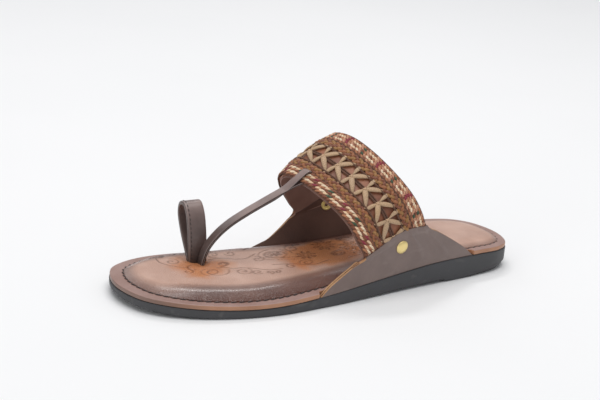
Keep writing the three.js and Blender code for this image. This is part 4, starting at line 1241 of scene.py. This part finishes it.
# ------------------------------------------------------------------------------------------------ toe ring
# A wider band of the same strap leather, two leathers thick and stitched near its front edge. It stands up
# from the slot as a loop for the big toe and leans to the inner side.
RING_X, RING_WIDTH = 72.8, 12
RING_ROWS = (  # y, z
    (-19.5, 9.0), (-19.5, 13.0), (-20.2, 22.0), (-22.2, 32.5), (-25.2, 40.6), (-30.0, 45.2), (-35.2, 44.0),
    (-37.0, 38.2), (-32.6, 28.0), (-25.4, 18.0), (-22.0, 13.4), (-22.0, 9.0),
)
ring_points = [(RING_X, y, z) for y, z in RING_ROWS]
ring_turns = [0] * len(RING_ROWS)
ring_outer = strap("toe_ring_face", ring_points, ring_turns, RING_WIDTH, -TO_LAYER, 150, 0.1)
belongs(ring_outer, strap_leather, "strap_leather", "toe_ring")
ring_inner = strap("toe_ring_lining", ring_points, ring_turns, RING_WIDTH - 0.5, TO_LAYER, 150)
belongs(ring_inner, strap_leather, "strap_leather", "toe_ring")
loop, run = smooth_line(ring_points, np.linspace(0.03, 0.97, 400))
far = lengths_along(loop)
spots = np.searchsorted(far, np.arange(1.5, far[-1] - 1, 2.6))
ways = unit(run[spots])
outs = np.cross(np.tile([1.0, 0.0, 0.0], (len(spots), 1)), ways)
outs *= np.sign((outs * (loop[spots] - [RING_X, -29, 30])).sum(1, keepdims=True))
ring_thread = thread_finish("ring_thread", colour(30, 22, 22), colour(58, 44, 42), roughness=0.5)
sewn = loop[spots] + [RING_WIDTH / 2 - 1.7, 0, 0] + outs * 1.22
ring_sewing = stitch_row("toe_ring_stitches", sewn, ways, outs, 0.1, 0.3, 1.7, 0.26)
belongs(ring_sewing, ring_thread, "strap_leather", "toe_ring")

# ------------------------------------------------------------------------------------------------ rivets
# A tubular brass rivet clamps each wing to the band: a plain domed head outside, a rolled eyelet with an
# open bore inside.
RIVET_SPOTS = {1: (0.78, 0.55), -1: (0.88, 0.46)}  # height as a share of the wing's, back from its front
HEAD = (  # radius, height over the wing's face
    (0.02, 1.62), (1.2, 1.58), (2.4, 1.42), (3.3, 1.12), (3.95, 0.7), (4.2, 0.32), (4.15, 0.02), (3.9, -0.15),
)
EYELET = (
    (1.75, -3.0), (2.1, -3.5), (2.6, -3.75), (3.1, -3.7), (3.4, -3.35), (3.35, -3.05), (1.55, -2.6),
    (1.5, -1.0), (0.95, -1.0), (0.95, -2.9), (1.2, -3.4), (1.75, -3.62),
)


def brass_finish(name, roughness, metal, dark, light, gloss, scuffed=None):
    """Brushed brass between two colours. gloss is its least and greatest roughness."""
    made, tree, shader = material(name, roughness, Metallic=metal)
    wear = use(tree, handling, Scuff_Scale=160.0, Patch_Scale=60.0)
    base = blend(tree, wear["Patches"], dark, light)
    if scuffed:
        base = blend(tree, reckon(tree, "MULTIPLY", wear["Scuffs"], 0.3), base, scuffed)
    satin = curve(tree, wear["Patches"], [(0, gloss[0]), (1, gloss[1])])
    feed(tree, shader, base, noise(tree, place_on(tree), 1800.0, 2.0), 0.00001, satin)
    return made


brass = brass_finish(
    "rivet_brass", 0.42, 0.7, colour(238, 212, 142), colour(246, 224, 158), (0.34, 0.42),
    scuffed=colour(200, 168, 104),
)
eyelet_brass = brass_finish(
    "eyelet_brass", 0.45, 0.6, colour(226, 198, 122), colour(240, 216, 146), (0.4, 0.5)
)


def lathe(name, profile_points, point, out, closed):
    """Spins a profile of (radius, height) about an axis through point."""
    bpy.ops.object.select_all(action="DESELECT")
    mesh = bpy.data.meshes.new(name)
    last = len(profile_points) - 1
    edges = [(k, k + 1) for k in range(last)] + ([(last, 0)] if closed else [])
    mesh.from_pydata([(r * MM, 0, h * MM) for r, h in profile_points], edges, [])
    piece = bpy.data.objects.new(name, mesh)
    scene.collection.objects.link(piece)
    edit(
        piece,
        lambda: bpy.ops.mesh.spin(steps=48, angle=2 * math.pi, center=(0, 0, 0), axis=(0, 0, 1)),
        lambda: bpy.ops.mesh.select_all(action="SELECT"),
        lambda: bpy.ops.mesh.remove_doubles(threshold=1e-6),
        lambda: bpy.ops.mesh.select_all(action="DESELECT"),
        lambda: bpy.ops.mesh.select_non_manifold(),
        lambda: bpy.ops.mesh.edge_face_add() if not closed else None,
        lambda: bpy.ops.mesh.select_all(action="SELECT"),
        lambda: bpy.ops.mesh.normals_make_consistent(inside=False),
    )
    apply_modifier(piece, "SUBSURF", levels=1, render_levels=1)
    turn = Vector((0, 0, 1)).rotation_difference(Vector(out)).to_matrix().to_4x4()
    piece.data.transform(Matrix.Translation(Vector(point) * MM) @ turn)
    bpy.ops.object.shade_smooth()
    return piece


for side, label in ((1, "outer"), (-1, "inner")):
    up, back = RIVET_SPOTS[side]
    t = up * WING_SHARE if side > 0 else 1 - up * WING_SHARE
    spot, out = arch(np.array([t]), np.array([back]), np.array([0.0]))
    head = lathe(label + "_rivet_head", HEAD, spot[0], out[0], False)
    belongs(head, brass, "rivet_brass", "rivet_" + label)
    eyelet = lathe(label + "_rivet_eyelet", EYELET, spot[0], out[0], True)
    belongs(eyelet, eyelet_brass, "rivet_brass", "rivet_" + label)
